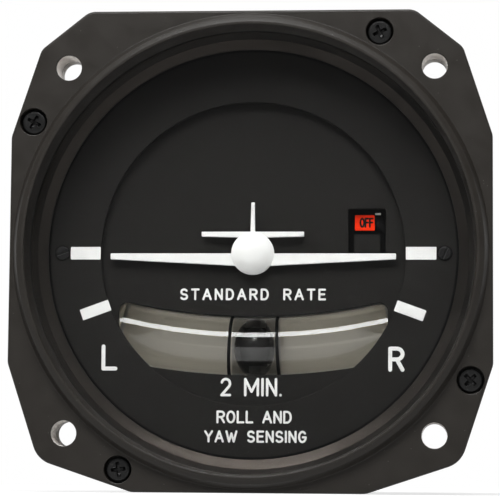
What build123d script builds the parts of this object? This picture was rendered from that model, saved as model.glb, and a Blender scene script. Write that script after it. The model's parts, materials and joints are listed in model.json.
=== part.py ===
from build123d import *
import os
from math import asin, atan2, cos, degrees, radians, sin

# Turn coordinator for an aircraft panel: a canted rate gyro turns a small aeroplane over a dial,
# and a ball in a curved tube below it shows slip. All lengths are in millimetres.
# X is to the right of the dial, Z is up, and Y runs from the dial into the panel.
# The origin is the centre of the bolt pattern on the front face of the flange.

# Clearances
SLIP = 0.05
RUN = 0.05
GAP = 0.3

# Case, the size that the flange, the bezel and the chassis follow
CASE_R = 39.3
CASE_WALL = 1.6
LEDGE_T = 3.0
LEDGE_W = 1.1
LUG_R = 3.2
LUG_L = 6.0
LUG_INSET = 2.4
LUG_ANGLES = (90, 210, 330)
REAR_BOSS_R = 3.0
REAR_BOSS_L = 7.0
REAR_BOSS_INSET = 2.2
REAR_COVER_T = 2.5
REAR_SPIGOT_T = 2.0
REAR_GASKET_T = 0.4
CASE_GASKET_T = 0.3
CASE_FLANGE_T = 2.5

# Flange and bolt pattern of a three and one eighth inch instrument, on a circle of three and a half inches
FLANGE_MARGIN = 2.0
BOLT_MARGIN = 5.156
MOUNT_HOLE_R = 2.2
SIDE_FACET = 21.8
LOWER_CORNER_IN = 5.4
LOWER_FACET = 21.5
UPPER_CORNER_IN = 5.0
UPPER_CORNER_DOWN = 6.6
UPPER_FACET = 13.3
LOWER_CORNER_ROUND = 4.5
UPPER_CORNER_ROUND = 2.5
FACET_ROUND = 3.0
EDGE_BREAK = 0.5

# Bezel and its raised ring
BEZEL_T = 6.1
MOUTH_STEP = 0.8
RING_RISE = 2.0
RING_LAND = 0.7
RING_SHOULDER = 0.7
RING_SHOULDER_RISE = 1.4
RING_FOOT = 0.9
MOUTH_TAPER = 0.3
MOUTH_BREAK = 0.25
LIP_DEPTH = 2.6
CASE_SCREW_MARGIN = 4.2
CASE_SCREW_ANGLE = 59.5
SCREW_HEAD_R = 2.05
SCREW_HEAD_H = 1.7
SCREW_RECESS = 0.7
SCREW_SHANK_R = 1.2
DRIVE_W = 0.5
DRIVE_L = 2.3
DRIVE_DEPTH = 0.8
DRIVE_TURN = 30

# Glass, its gasket and the spacer that presses them home
GASKET_T = 0.6
GLASS_T = 1.95
GLASS_MARGIN = 0.3
GLASS_BREAK = 0.2
SPACER_T = 2.6
SPACER_WALL_INSET = 0.1
SPACER_BEVEL_IN = 1.6
SPACER_BEVEL = 1.0
SPACER_FOOT_T = 0.25

# Dial mask and dial plate
MASK_T = 0.85
MASK_OPENING_R = 26.4
MASK_SCREW_INSET = 4.5
MASK_SCREW_HEAD_R = 1.15
MASK_SCREW_HEAD_H = 0.35
MASK_SCREW_R = 0.6
MASK_SCREW_L = 4.0
MASK_POST_R = 2.2
DIAL_RECESS = 1.5
DIAL_T = 0.8
DIAL_OVERLAP = 4.1
DIAL_POST_R = 1.6
DIAL_POST_INSET = 2.1
DIAL_POST_ANGLES = (55, 125, 270)
DIAL_SCREW_HEAD_R = 1.3
DIAL_SCREW_HEAD_H = 0.45

# Slip indicator
TUBE_ARC_R = 104.0
TUBE_Z = -15.96
TUBE_WALL = 1.3
BALL_R = 3.6
TUBE_END = 0.5172
PLUG_L_ANGLE = 1.5
WINDOW_EDGE = 0.1
WINDOW_INSET = 3.0
WINDOW_CORNER_R = 1.6
CENTRE_LINE_CLEAR = 0.57
CENTRE_LINE_W = 0.56
CENTRE_LINE_T = 0.25
BACKING_T = 0.5
CLIP_W = 3.0
CLIP_T = 0.5
CLIP_INSET_ANGLE = 1.0

# Aeroplane pointer
WING_CLEAR = 1.6
WING_TIP_CHORD = 1.03
WING_ROOT_CHORD = 2.15
WING_ROOT_X = 3.3
POINTER_T = 0.6
POINTER_PROUD = 0.75
BODY_R = 3.72
BODY_RISE = 1.2
TAIL_HALF = 8.9
TAIL_TOP_Z = 3.78
TAIL_TIP_CHORD = 0.84
TAIL_ROOT_CHORD = 1.05
FIN_W = 0.9
FIN_TOP_Z = 8.88
HUB_WALL = 0.9
HUB_L = 2.2
POINTER_SHAFT_R = 1.5
BEARING_RING_T = 1.5
POINTER_BEARING_L = 2.5
HOUSING_WALL = 1.2
HOUSING_FLANGE_W = 3.8
HOUSING_FLANGE_T = 2.0

# Warning flag: it swings about its pivot from its window down behind the shield
FLAG_PIVOT_OUT = 0.6
FLAG_PIVOT_Z = 1.0
FLAG_SIZE = (3.6, 2.76)
FLAG_IN = 6.8
FLAG_Z = 5.62
FLAG_WINDOW_SIZE = (6.5, 8.5)
FLAG_WINDOW_IN = 6.65
FLAG_WINDOW_Z = 3.65
FLAG_T = 0.4
FLAG_ARM_W = 1.0
FLAG_HUB_R = 1.5
FLAG_SPINDLE_R = 0.6
SHIELD_SIZE = (4.45, 9.1)
SHIELD_TOP = 3.5
SHIELD_T = 0.4
METER_R = 3.4
METER_L = 7.0

# Gyro: the gimbal axis is canted, its front end raised, and the rotor spins across it
CANT = 30.0
ROTOR_R = 19.0
ROTOR_L = 22.0
RIM_T = 5.0
RIM_BREAK = 0.8
WEB_T = 3.0
ROTOR_HUB_R = 4.0
ROTOR_HUB_L = 4.5
ROTOR_SHAFT_R = 1.5
RING_MAGNET_T = 1.0
STATOR_GAP = 0.6
STATOR_END_GAP = 1.0
STATOR_L = 13.0
STATOR_POLES = 8
STATOR_POLE_W = 2.4
STATOR_SHOE_T = 1.6
STATOR_CORE_R = 6.8
STATOR_STEM_WALL = 1.1
GIMBAL_SIDE_GAP = 5.0
GIMBAL_END_GAP = 2.0
GIMBAL_WALL = 3.2
GIMBAL_DEPTH = 8.0
GIMBAL_ROUND = 5.0
GIMBAL_IN_ROUND = 3.0
GIMBAL_BOSS_WALL = 2.0
SPIN_BEARING_T = 3.0
PIVOT_R = 1.5
PIVOT_BEARING_T = 2.0
BRACKET_GAP = 1.6
BRACKET_T = 4.0
BRACKET_HALF_W = 7.0
BRACKET_BOSS_WALL = 3.0
BRACKET_FOOT_CLEAR = 2.1
REAR_BRIDGE_Z = -6.0
BRIDGE_T = 4.0
BRACKET_FOOT_T = 3.0
BRACKET_FOOT_H = 8.0

# Hairspring, stops and damper on the gimbal axis
SPRING_TURNS = 4
SPRING_PITCH = 0.9
SPRING_STRIP_T = 0.25
SPRING_STRIP_W = 0.7
SPRING_STUD_R = 0.5
COLLET_WALL = 0.5
STOP_PIN_R = 1.0
STOP_INSET = 2.4
GIMBAL_SWING = 20.0
DAMPER_R = 8.0
DAMPER_L = 7.5
DAMPER_WALL = 1.0
DAMPER_DISC_T = 1.4
DAMPER_FILM = 0.5

# Bevel gears between the gimbal and the pointer, with their common apex at the gyro's centre
GEAR_FACE = 4.2
PINION_TEETH = 16
SECTOR_TEETH = 32
SECTOR_KEPT = 5
TOOTH_ADDENDUM = 0.8
TOOTH_DEDENDUM = 1.15
TOOTH_ROOT_SHARE = 0.57
TOOTH_TIP_SHARE = 0.22
GEAR_HUB_WALL = 1.7
PINION_HUB_L = 1.2

# Chassis plates and posts
FRONT_PLATE_GAP = 1.0
PLATE_T = 2.5
PLATE_CLEAR = 0.3
PINION_GAP = 3.0
POST_R = 2.5
POST_INSET = 5.2
REAR_PLATE_CLEAR = 0.2

# Power supply board
BOARD_GAP = 5.0
BOARD_T = 1.6
BOARD_INSET = 7.7
BOARD_FLAT = 6.0
BOARD_POST_R = 2.0
BOARD_POST_INSET = 5.0
BOARD_POST_ANGLES = (60, 180, 300)
CAPACITOR_R = 3.5
CAPACITOR_L = 9.0
CAPACITOR_PLACES = ((-14.0, 15.0), (-5.0, 17.0))
TRANSFORMER = (12.0, 12.0, 8.0)
TRANSFORMER_PLACE = (10.0, 14.0)
REGULATOR = (8.0, 10.0, 5.0)
REGULATOR_PLACE = (-16.0, -4.0)
RELAY = (10.0, 5.0, 3.0)
RELAY_PLACE = (16.0, -2.0)
BOARD_TAIL = 3.0

# Round three pin connector on the rear cover
CONNECTOR_Z = -10.0
CONNECTOR_FLANGE = 25.4
CONNECTOR_ROUND = 3.0
CONNECTOR_PITCH = 18.26
CONNECTOR_FLANGE_T = 2.0
CONNECTOR_GASKET_T = 0.8
SHELL_R = 7.94
SHELL_WALL = 1.44
SHELL_L = 14.0
INSERT_L = 3.0
PIN_R = 0.8
PIN_CIRCLE_R = 3.2
PIN_L = 5.5
PIN_COUNT = 3
SMALL_SCREW_R = 0.9
SMALL_HEAD_R = 1.9
SMALL_HEAD_H = 1.3
SMALL_SCREW_SHORT = 1.0

# Radii that follow the case
CASE_BORE_R = CASE_R - CASE_WALL
FLANGE_HALF = CASE_R + FLANGE_MARGIN
BOLT_CIRCLE_R = CASE_R + BOLT_MARGIN
CASE_SCREW_CIRCLE_R = CASE_R + CASE_SCREW_MARGIN
MOUTH_R = CASE_R - MOUTH_STEP
LIP_R = MOUTH_R - MOUTH_TAPER
RING_CREST_R = MOUTH_R + RING_LAND
RING_SHOULDER_R = RING_CREST_R + RING_SHOULDER
RING_FOOT_R = RING_SHOULDER_R + RING_FOOT
GLASS_R = CASE_R + GLASS_MARGIN
SPACER_R = CASE_BORE_R + LEDGE_W
SPACER_WALL_R = CASE_BORE_R - SPACER_WALL_INSET
SPACER_FOOT_R = SPACER_WALL_R - SPACER_BEVEL_IN
MASK_SCREW_X = CASE_BORE_R - MASK_SCREW_INSET
PLATE_R = CASE_BORE_R - PLATE_CLEAR
REAR_PLATE_R = CASE_BORE_R - LEDGE_W - REAR_PLATE_CLEAR
POST_CIRCLE_R = CASE_BORE_R - POST_INSET
FRONT_BRIDGE_Z = CASE_BORE_R - LUG_INSET - LUG_R - BRACKET_FOOT_H - BRACKET_FOOT_CLEAR
BOARD_R = CASE_BORE_R - BOARD_INSET
BOARD_POST_CIRCLE_R = BOARD_R - BOARD_POST_INSET
DIAL_R = MASK_OPENING_R + DIAL_OVERLAP
WING_HALF = MASK_OPENING_R - WING_CLEAR
WINDOW_HALF_W = MASK_OPENING_R - WINDOW_INSET
TUBE_HALF_ANGLE = degrees(asin((MASK_OPENING_R + TUBE_END) / TUBE_ARC_R))
FLAG_PIVOT = (MASK_OPENING_R + FLAG_PIVOT_OUT, FLAG_PIVOT_Z)
FLAG_CENTRE = (MASK_OPENING_R - FLAG_IN, FLAG_Z)
FLAG_WINDOW_CENTRE = (MASK_OPENING_R - FLAG_WINDOW_IN, FLAG_WINDOW_Z)
TUBE_BORE_R = BALL_R + GAP
TUBE_R = TUBE_BORE_R + TUBE_WALL
WINDOW_H = 2 * (TUBE_R - WINDOW_EDGE)
CENTRE_LINE_X = BALL_R + CENTRE_LINE_CLEAR
HUB_R = POINTER_SHAFT_R + HUB_WALL
POINTER_BEARING_R = POINTER_SHAFT_R + BEARING_RING_T
HOUSING_R = POINTER_BEARING_R + HOUSING_WALL
HOUSING_FLANGE_R = HOUSING_R + HOUSING_FLANGE_W
SPIN_BEARING_R = ROTOR_SHAFT_R + SPIN_BEARING_T
GIMBAL_BOSS_R = SPIN_BEARING_R + GIMBAL_BOSS_WALL
PIVOT_BEARING_R = PIVOT_R + PIVOT_BEARING_T
BRACKET_BOSS_R = PIVOT_BEARING_R + BRACKET_BOSS_WALL
GEAR_HUB_R = PIVOT_R + GEAR_HUB_WALL
PINION_HUB_R = POINTER_SHAFT_R + GEAR_HUB_WALL
COLLET_R = PIVOT_R + COLLET_WALL
SPRING_IN_R = COLLET_R + GAP + SPRING_STRIP_T / 2
SPRING_OUT_R = SPRING_IN_R + SPRING_TURNS * SPRING_PITCH
SHELL_BORE_R = SHELL_R - SHELL_WALL

# The gyro's stack out from its centre, and the two gear cones
GIMBAL_IN_X = ROTOR_L / 2 + GIMBAL_SIDE_GAP
GIMBAL_IN_G = ROTOR_R + GIMBAL_END_GAP
GIMBAL_OUT_G = GIMBAL_IN_G + GIMBAL_WALL
BRACKET_G = GIMBAL_OUT_G + BRACKET_GAP
BRACKET_FAR_G = BRACKET_G + BRACKET_T
SECTOR_TOE_G = BRACKET_FAR_G + GAP + SPRING_STRIP_W + 3 * GAP
GEAR_RATIO = SECTOR_TEETH / PINION_TEETH
PINION_CONE = degrees(atan2(sin(radians(CANT)), GEAR_RATIO + cos(radians(CANT))))
SECTOR_CONE = CANT - PINION_CONE
CONE_L = SECTOR_TOE_G / cos(radians(SECTOR_CONE)) + GEAR_FACE
SECTOR_HEEL_G = CONE_L * cos(radians(SECTOR_CONE))
SECTOR_PITCH_R = CONE_L * sin(radians(SECTOR_CONE))
STOP_CIRCLE_R = SECTOR_PITCH_R - STOP_INSET
DAMPER_DISC_G = BRACKET_FAR_G + DAMPER_WALL + DAMPER_FILM

# Depths from the flange face, each resting on the one before
GLASS_Y = LIP_DEPTH + GASKET_T
SPACER_Y = GLASS_Y + GLASS_T
MASK_Y = SPACER_Y + SPACER_T
MASK_BACK = MASK_Y + MASK_T
DIAL_Y = MASK_Y + DIAL_RECESS
DIAL_BACK = DIAL_Y + DIAL_T
POINTER_Y = DIAL_Y - POINTER_PROUD - POINTER_T
SHIELD_Y = DIAL_BACK
FLAG_Y = SHIELD_Y + SHIELD_T + GAP
CASE_Y = BEZEL_T + CASE_GASKET_T
CASE_FLANGE_BACK = CASE_Y + CASE_FLANGE_T
TUBE_Y = DIAL_BACK + SLIP + CENTRE_LINE_T + TUBE_R
BACKING_Y = TUBE_Y + TUBE_R + SLIP
PLATE_Y = BACKING_Y + BACKING_T + FRONT_PLATE_GAP
PLATE_BACK = PLATE_Y + PLATE_T
METER_Y = PLATE_Y - METER_L
HOUSING_Y = POINTER_Y + POINTER_T + HUB_L + GAP
PINION_HEEL_Y = PLATE_BACK + PINION_GAP
GYRO_Y = PINION_HEEL_Y + CONE_L * cos(radians(PINION_CONE))
PINION_TOE_Y = GYRO_Y - (CONE_L - GEAR_FACE) * cos(radians(PINION_CONE))
CHASSIS_L = 2 * (GYRO_Y - PLATE_BACK)
REAR_PLATE_Y = PLATE_BACK + CHASSIS_L
REAR_PLATE_BACK = REAR_PLATE_Y + PLATE_T
BOARD_Y = REAR_PLATE_BACK + BOARD_GAP
BOARD_BACK = BOARD_Y + BOARD_T
CASE_END = BOARD_BACK + max(CAPACITOR_L, TRANSFORMER[2]) + BOARD_TAIL + REAR_SPIGOT_T
CASE_L = CASE_END - CASE_Y
COVER_Y = CASE_END + REAR_GASKET_T
COVER_BACK = COVER_Y + REAR_COVER_T
FLANGE_Y = COVER_BACK + CONNECTOR_GASKET_T
TUBE_CENTRE_Z = TUBE_Z + TUBE_ARC_R

# Directions of the gimbal axis and of its upper side
AXIS_G = Vector(0, -cos(radians(CANT)), sin(radians(CANT)))
AXIS_N = Vector(0, sin(radians(CANT)), cos(radians(CANT)))
GYRO = Vector(0, GYRO_Y, 0)


def facing(depth):
    """Plane across the case at this depth: local x is X, local y is Z, and the normal points forward."""
    return Plane.XZ.offset(-depth)


def canted(distance):
    """Plane square to the gimbal axis, this far from the gyro's centre towards the front end."""
    return Plane(origin=GYRO + AXIS_G * distance, x_dir=(1, 0, 0), z_dir=AXIS_G)


def polar(radius, angle):
    """The point at this radius and angle in degrees."""
    return (radius * cos(radians(angle)), radius * sin(radians(angle)))


def corners(pitch):
    """The four corners of a square of this side."""
    return [(sx * pitch / 2, sz * pitch / 2) for sx in (-1, 1) for sz in (-1, 1)]


def flange_face():
    """Draws the flange's outline: two plain lower corners, and two upper corners with two facets."""
    h = FLANGE_HALF
    right = [
        (h - LOWER_FACET, -h),
        (h - LOWER_CORNER_IN, LOWER_CORNER_IN - h),
        (h, SIDE_FACET - h),
        (h, h - SIDE_FACET),
        (h - UPPER_CORNER_IN, h - UPPER_CORNER_DOWN),
        (h - UPPER_FACET, h),
    ]
    rounds = [FACET_ROUND, LOWER_CORNER_ROUND, FACET_ROUND, FACET_ROUND, UPPER_CORNER_ROUND, FACET_ROUND]
    left = [(-x, z) for x, z in reversed(right)]
    with BuildLine() as outline:
        FilletPolyline(*right, *left, radius=rounds + rounds[::-1], close=True)
    make_face(outline.edges())


def turned(*profile):
    """Revolves a closed profile of (radius, depth) points about the dial's axis."""
    with BuildSketch(Plane.XY) as section:
        with BuildLine():
            Polyline(*profile, close=True)
        make_face()
    revolve(section.sketch, axis=Axis.Y)


def ring(outer_r, inner_r, start, thickness, centres=((0, 0),), mode=Mode.ADD):
    """Flat rings, or discs where the inner radius is 0, from one depth back into the case."""
    with BuildSketch(facing(start)) as section:
        with Locations(*centres):
            Circle(outer_r)
            if inner_r:
                Circle(inner_r, mode=Mode.SUBTRACT)
    extrude(section.sketch, amount=-thickness, mode=mode)


def canted_ring(outer_r, inner_r, start, thickness, mode=Mode.ADD):
    """A ring on the gimbal axis, from one distance towards the front end."""
    with BuildSketch(canted(start)) as section:
        Circle(outer_r)
        if inner_r:
            Circle(inner_r, mode=Mode.SUBTRACT)
    extrude(section.sketch, amount=thickness, mode=mode)


def spin_ring(outer_r, inner_r, start, thickness, mode=Mode.ADD):
    """A ring on the rotor's axis, from one X towards the right."""
    with BuildSketch(Plane.YZ.offset(start)) as section:
        with Locations((GYRO_Y, 0)):
            Circle(outer_r)
            if inner_r:
                Circle(inner_r, mode=Mode.SUBTRACT)
    extrude(section.sketch, amount=thickness, mode=mode)


def cross_slots(depth, centres, length, width, cut, angle=0):
    """Cuts a cross recess into screw heads that face the front."""
    with BuildSketch(facing(depth)) as section:
        with Locations(*[Location((x, z), angle) for x, z in centres]):
            Rectangle(length, width)
            Rectangle(width, length)
    extrude(section.sketch, amount=-cut, mode=Mode.SUBTRACT)


def head_screws(depth, centres, head_r, head_h, shank_r, length, facing_front=True):
    """Screws with a cheese head that starts at this depth and a plain shank under it."""
    way = 1 if facing_front else -1
    with BuildSketch(facing(depth)) as heads:
        with Locations(*centres):
            Circle(head_r)
    extrude(heads.sketch, amount=-way * head_h)
    with BuildSketch(facing(depth + way * head_h)) as shanks:
        with Locations(*centres):
            Circle(shank_r)
    extrude(shanks.sketch, amount=-way * length)


def arc_plane(angle):
    """Plane square to the curved tube, this many degrees round its arc to the right of the middle."""
    a = radians(angle)
    origin = (TUBE_ARC_R * sin(a), TUBE_Y, TUBE_CENTRE_Z - TUBE_ARC_R * cos(a))
    return Plane(origin=origin, x_dir=(0, 1, 0), z_dir=(-cos(a), 0, -sin(a)))


TUBE_AXIS = Axis((0, TUBE_Y, TUBE_CENTRE_Z), (0, 1, 0))


def along_arc(outer_r, inner_r, start, end):
    """A rod or a pipe bent along the tube's arc between two angles, start being the further right."""
    with BuildSketch(arc_plane(start)) as section:
        Circle(outer_r)
        if inner_r:
            Circle(inner_r, mode=Mode.SUBTRACT)
    revolve(section.sketch, axis=TUBE_AXIS, revolution_arc=start - end)


def bevel_teeth(teeth, radius, first_angle, kept):
    """Outline points of a toothed wheel section: straight flanks, and roots where teeth are left out."""
    module = 2 * radius / teeth
    step = 360 / teeth
    tip_r = radius + TOOTH_ADDENDUM * module
    root_r = radius - TOOTH_DEDENDUM * module
    points = []
    for k in range(teeth):
        middle = first_angle + k * step
        if k in kept:
            points.append(polar(root_r, middle - step * TOOTH_ROOT_SHARE / 2))
            points.append(polar(tip_r, middle - step * TOOTH_TIP_SHARE / 2))
            points.append(polar(tip_r, middle + step * TOOTH_TIP_SHARE / 2))
            points.append(polar(root_r, middle + step * TOOTH_ROOT_SHARE / 2))
        else:
            points.append(polar(root_r, middle))
    return points


pieces = {}

# Mounting holes, screw holes and the places of the fasteners
MOUNT_HOLES = [polar(BOLT_CIRCLE_R, 45 + 90 * k) for k in range(4)]
CASE_SCREWS = [polar(CASE_SCREW_CIRCLE_R, CASE_SCREW_ANGLE + 90 * k) for k in range(4)]
MASK_SCREWS = [(-MASK_SCREW_X, 0), (MASK_SCREW_X, 0)]
DIAL_POSTS = [polar(DIAL_R - DIAL_POST_INSET, a) for a in DIAL_POST_ANGLES]
POSTS = [polar(POST_CIRCLE_R, 45 + 90 * k) for k in range(4)]
LUGS = [polar(CASE_BORE_R - LUG_INSET, a) for a in LUG_ANGLES]
REAR_BOSSES = [polar(CASE_BORE_R - REAR_BOSS_INSET, 90 * k) for k in range(4)]
PLUG = [(0, CONNECTOR_Z)]
PLUG_SCREWS = [(x, CONNECTOR_Z + z) for x, z in corners(CONNECTOR_PITCH)]

with BuildPart() as bezel:
    with BuildSketch(facing(0)):
        flange_face()
    extrude(amount=-BEZEL_T)
    chamfer(bezel.faces().sort_by(Axis.Y)[0].outer_wire().edges(), EDGE_BREAK)
    turned(
        (LIP_R, LIP_DEPTH),
        (RING_FOOT_R, LIP_DEPTH),
        (RING_FOOT_R, 0),
        (RING_SHOULDER_R, -RING_SHOULDER_RISE),
        (RING_CREST_R, -RING_RISE),
        (LIP_R, -RING_RISE),
    )
    with BuildSketch(Plane.XY):
        with BuildLine():
            Polyline(
                (0, -RING_RISE),
                (MOUTH_R + MOUTH_BREAK, -RING_RISE),
                (MOUTH_R, MOUTH_BREAK - RING_RISE),
                (LIP_R, LIP_DEPTH),
                (GLASS_R + SLIP, LIP_DEPTH),
                (GLASS_R + SLIP, BEZEL_T),
                (0, BEZEL_T),
                close=True,
            )
        make_face()
    revolve(axis=Axis.Y, mode=Mode.SUBTRACT)
    with BuildSketch(facing(0)):
        with Locations(*MOUNT_HOLES):
            Circle(MOUNT_HOLE_R)
        with Locations(*CASE_SCREWS):
            Circle(SCREW_SHANK_R + SLIP)
    extrude(amount=-BEZEL_T, mode=Mode.SUBTRACT)
    ring(SCREW_HEAD_R + GAP, 0, 0, SCREW_RECESS + SCREW_HEAD_H, CASE_SCREWS, Mode.SUBTRACT)
pieces["bezel"] = bezel

with BuildPart() as glass_gasket:
    ring(GLASS_R, LIP_R, LIP_DEPTH, GASKET_T)
pieces["glass_gasket"] = glass_gasket

with BuildPart() as front_glass:
    ring(GLASS_R, 0, GLASS_Y, GLASS_T)
    chamfer(front_glass.edges().filter_by(GeomType.CIRCLE), GLASS_BREAK)
pieces["front_glass"] = front_glass

with BuildPart() as glass_spacer:
    turned(
        (SPACER_R, SPACER_Y),
        (SPACER_R, MASK_Y),
        (SPACER_FOOT_R, MASK_Y),
        (SPACER_FOOT_R, MASK_Y - SPACER_FOOT_T),
        (SPACER_WALL_R, MASK_Y - SPACER_FOOT_T - SPACER_BEVEL),
        (LIP_R, SPACER_Y),
    )
pieces["glass_spacer"] = glass_spacer

with BuildPart() as dial_mask:
    ring(SPACER_R, MASK_OPENING_R, MASK_Y, MASK_T)
    ring(MASK_SCREW_R + SLIP, 0, MASK_Y, MASK_T, MASK_SCREWS, Mode.SUBTRACT)
pieces["dial_mask"] = dial_mask

with BuildPart() as mask_screws:
    head_screws(
        MASK_Y - MASK_SCREW_HEAD_H,
        MASK_SCREWS,
        MASK_SCREW_HEAD_R,
        MASK_SCREW_HEAD_H,
        MASK_SCREW_R,
        MASK_SCREW_L,
    )
pieces["mask_screws"] = mask_screws

WINDOW_TOP_R = TUBE_ARC_R - WINDOW_H / 2
WINDOW_FOOT_R = TUBE_ARC_R + WINDOW_H / 2


def tube_window():
    """The tube's window: a band between two arcs about the tube's centre, inside the mask's opening."""
    with Locations((0, TUBE_CENTRE_Z)):
        Circle(WINDOW_FOOT_R)
        Circle(WINDOW_TOP_R, mode=Mode.SUBTRACT)
    with Locations((0, TUBE_Z)):
        Rectangle(2 * WINDOW_HALF_W, 4 * WINDOW_H, mode=Mode.INTERSECT)
    Circle(MASK_OPENING_R, mode=Mode.INTERSECT)


with BuildPart() as dial_plate:
    ring(DIAL_R, 0, DIAL_Y, DIAL_T)
    ring(HUB_R + GAP, 0, DIAL_Y, DIAL_T, mode=Mode.SUBTRACT)
    ring(MASK_SCREW_R + SLIP, 0, DIAL_Y, DIAL_T, DIAL_POSTS, Mode.SUBTRACT)
    with BuildSketch(facing(DIAL_Y)) as window_sketch:
        tube_window()
        fillet(window_sketch.vertices().group_by(Axis.Z)[-1], WINDOW_CORNER_R)
    extrude(amount=-DIAL_T, mode=Mode.SUBTRACT)
    with BuildSketch(facing(DIAL_Y)):
        with Locations(FLAG_WINDOW_CENTRE):
            Rectangle(*FLAG_WINDOW_SIZE)
    extrude(amount=-DIAL_T, mode=Mode.SUBTRACT)
pieces["dial_plate"] = dial_plate

with BuildPart() as dial_screws:
    head_screws(
        DIAL_Y - DIAL_SCREW_HEAD_H,
        DIAL_POSTS,
        DIAL_SCREW_HEAD_R,
        DIAL_SCREW_HEAD_H,
        MASK_SCREW_R,
        MASK_SCREW_L,
    )
pieces["dial_screws"] = dial_screws

with BuildPart() as dial_posts:
    ring(DIAL_POST_R, 0, DIAL_BACK, PLATE_Y - DIAL_BACK, DIAL_POSTS)
    ring(MASK_POST_R, 0, MASK_BACK, PLATE_Y - MASK_BACK, MASK_SCREWS)
    ring(MASK_SCREW_R + SLIP, 0, MASK_BACK, MASK_SCREW_L, MASK_SCREWS, Mode.SUBTRACT)
    ring(MASK_SCREW_R + SLIP, 0, DIAL_BACK, MASK_SCREW_L, DIAL_POSTS, Mode.SUBTRACT)
pieces["dial_posts"] = dial_posts

# Aeroplane pointer, with its body domed to part of a sphere and the hub that clamps the shaft
DOME_R = (BODY_R**2 + BODY_RISE**2) / (2 * BODY_RISE)
DOME_CENTRE_Y = POINTER_Y - BODY_RISE + DOME_R
DOME_HALF = asin(BODY_R / DOME_R)
with BuildPart() as aircraft_pointer:
    with BuildSketch(facing(POINTER_Y)):
        with BuildLine():
            Polyline(
                (-WING_HALF, 0),
                (WING_HALF, 0),
                (WING_HALF, -WING_TIP_CHORD),
                (WING_ROOT_X, -WING_ROOT_CHORD),
                (-WING_ROOT_X, -WING_ROOT_CHORD),
                (-WING_HALF, -WING_TIP_CHORD),
                close=True,
            )
        make_face()
        with BuildLine():
            Polyline(
                (-TAIL_HALF, TAIL_TOP_Z),
                (TAIL_HALF, TAIL_TOP_Z),
                (TAIL_HALF, TAIL_TOP_Z - TAIL_TIP_CHORD),
                (0, TAIL_TOP_Z - TAIL_ROOT_CHORD),
                (-TAIL_HALF, TAIL_TOP_Z - TAIL_TIP_CHORD),
                close=True,
            )
        make_face()
        with Locations((0, FIN_TOP_Z / 2)):
            Rectangle(FIN_W, FIN_TOP_Z)
    extrude(amount=-POINTER_T)
    with BuildSketch(Plane.XY):
        with BuildLine():
            ThreePointArc(
                (BODY_R, POINTER_Y),
                (DOME_R * sin(DOME_HALF / 2), DOME_CENTRE_Y - DOME_R * cos(DOME_HALF / 2)),
                (0, POINTER_Y - BODY_RISE),
            )
            Polyline(
                (0, POINTER_Y - BODY_RISE),
                (0, POINTER_Y + POINTER_T),
                (BODY_R, POINTER_Y + POINTER_T),
                (BODY_R, POINTER_Y),
            )
        make_face()
    revolve(axis=Axis.Y)
    ring(HUB_R, 0, POINTER_Y + POINTER_T, HUB_L)
    ring(POINTER_SHAFT_R, 0, POINTER_Y + POINTER_T, HUB_L, mode=Mode.SUBTRACT)
pieces["aircraft_pointer"] = aircraft_pointer

BEARING_YS = [HOUSING_Y, PLATE_BACK - POINTER_BEARING_L]

with BuildPart() as pointer_shaft:
    ring(POINTER_SHAFT_R, 0, POINTER_Y + POINTER_T, PINION_TOE_Y - POINTER_Y - POINTER_T)
pieces["pointer_shaft"] = pointer_shaft

with BuildPart() as bearing_housing:
    ring(HOUSING_R, POINTER_SHAFT_R + GAP, HOUSING_Y, PLATE_BACK - HOUSING_Y)
    ring(HOUSING_FLANGE_R, POINTER_SHAFT_R + GAP, PLATE_Y - HOUSING_FLANGE_T, HOUSING_FLANGE_T)
    for y in BEARING_YS:
        ring(POINTER_BEARING_R, 0, y, POINTER_BEARING_L, mode=Mode.SUBTRACT)
pieces["bearing_housing"] = bearing_housing

with BuildPart() as pointer_bearings:
    for y in BEARING_YS:
        ring(POINTER_BEARING_R, POINTER_SHAFT_R + RUN, y, POINTER_BEARING_L)
pieces["pointer_bearings"] = pointer_bearings

# Bevel pinion: every flank runs to the apex at the gyro's centre
with BuildPart() as bevel_pinion:
    for y in (PINION_HEEL_Y, PINION_TOE_Y):
        reach = (GYRO_Y - y) / cos(radians(PINION_CONE))
        with BuildSketch(facing(y)):
            with BuildLine():
                Polyline(
                    *bevel_teeth(
                        PINION_TEETH,
                        reach * sin(radians(PINION_CONE)),
                        90 + 180 / PINION_TEETH,
                        range(PINION_TEETH),
                    ),
                    close=True,
                )
            make_face()
    loft(ruled=True)
    ring(PINION_HUB_R, 0, PINION_HEEL_Y - PINION_HUB_L, PINION_HUB_L)
    ring(
        POINTER_SHAFT_R,
        0,
        PINION_HEEL_Y - PINION_HUB_L,
        PINION_TOE_Y - PINION_HEEL_Y + PINION_HUB_L,
        mode=Mode.SUBTRACT,
    )
pieces["bevel_pinion"] = bevel_pinion

# Sector gear on the gimbal's front pivot, toothed only where it meets the pinion
SECTOR_HALF_ANGLE = 360 / SECTOR_TEETH * SECTOR_KEPT / 2
with BuildPart() as sector_gear:
    for g in (SECTOR_HEEL_G, SECTOR_TOE_G):
        reach = g / cos(radians(SECTOR_CONE))
        pitch_r = reach * sin(radians(SECTOR_CONE))
        with BuildSketch(canted(g)):
            with BuildLine():
                first = -90 - (SECTOR_KEPT - 1) / 2 * 360 / SECTOR_TEETH
                rim = bevel_teeth(SECTOR_TEETH, pitch_r, first, range(SECTOR_KEPT))[: 4 * SECTOR_KEPT]
                waist = GEAR_HUB_R * reach / CONE_L
                Polyline((-waist, 0), *rim, (waist, 0), (0, waist), close=True)
            make_face()
    loft(ruled=True)
    canted_ring(GEAR_HUB_R, 0, SECTOR_TOE_G - GAP, SECTOR_HEEL_G - SECTOR_TOE_G + GAP)
    canted_ring(PIVOT_R, 0, SECTOR_TOE_G - GAP, SECTOR_HEEL_G - SECTOR_TOE_G + GAP, Mode.SUBTRACT)
pieces["sector_gear"] = sector_gear

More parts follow.
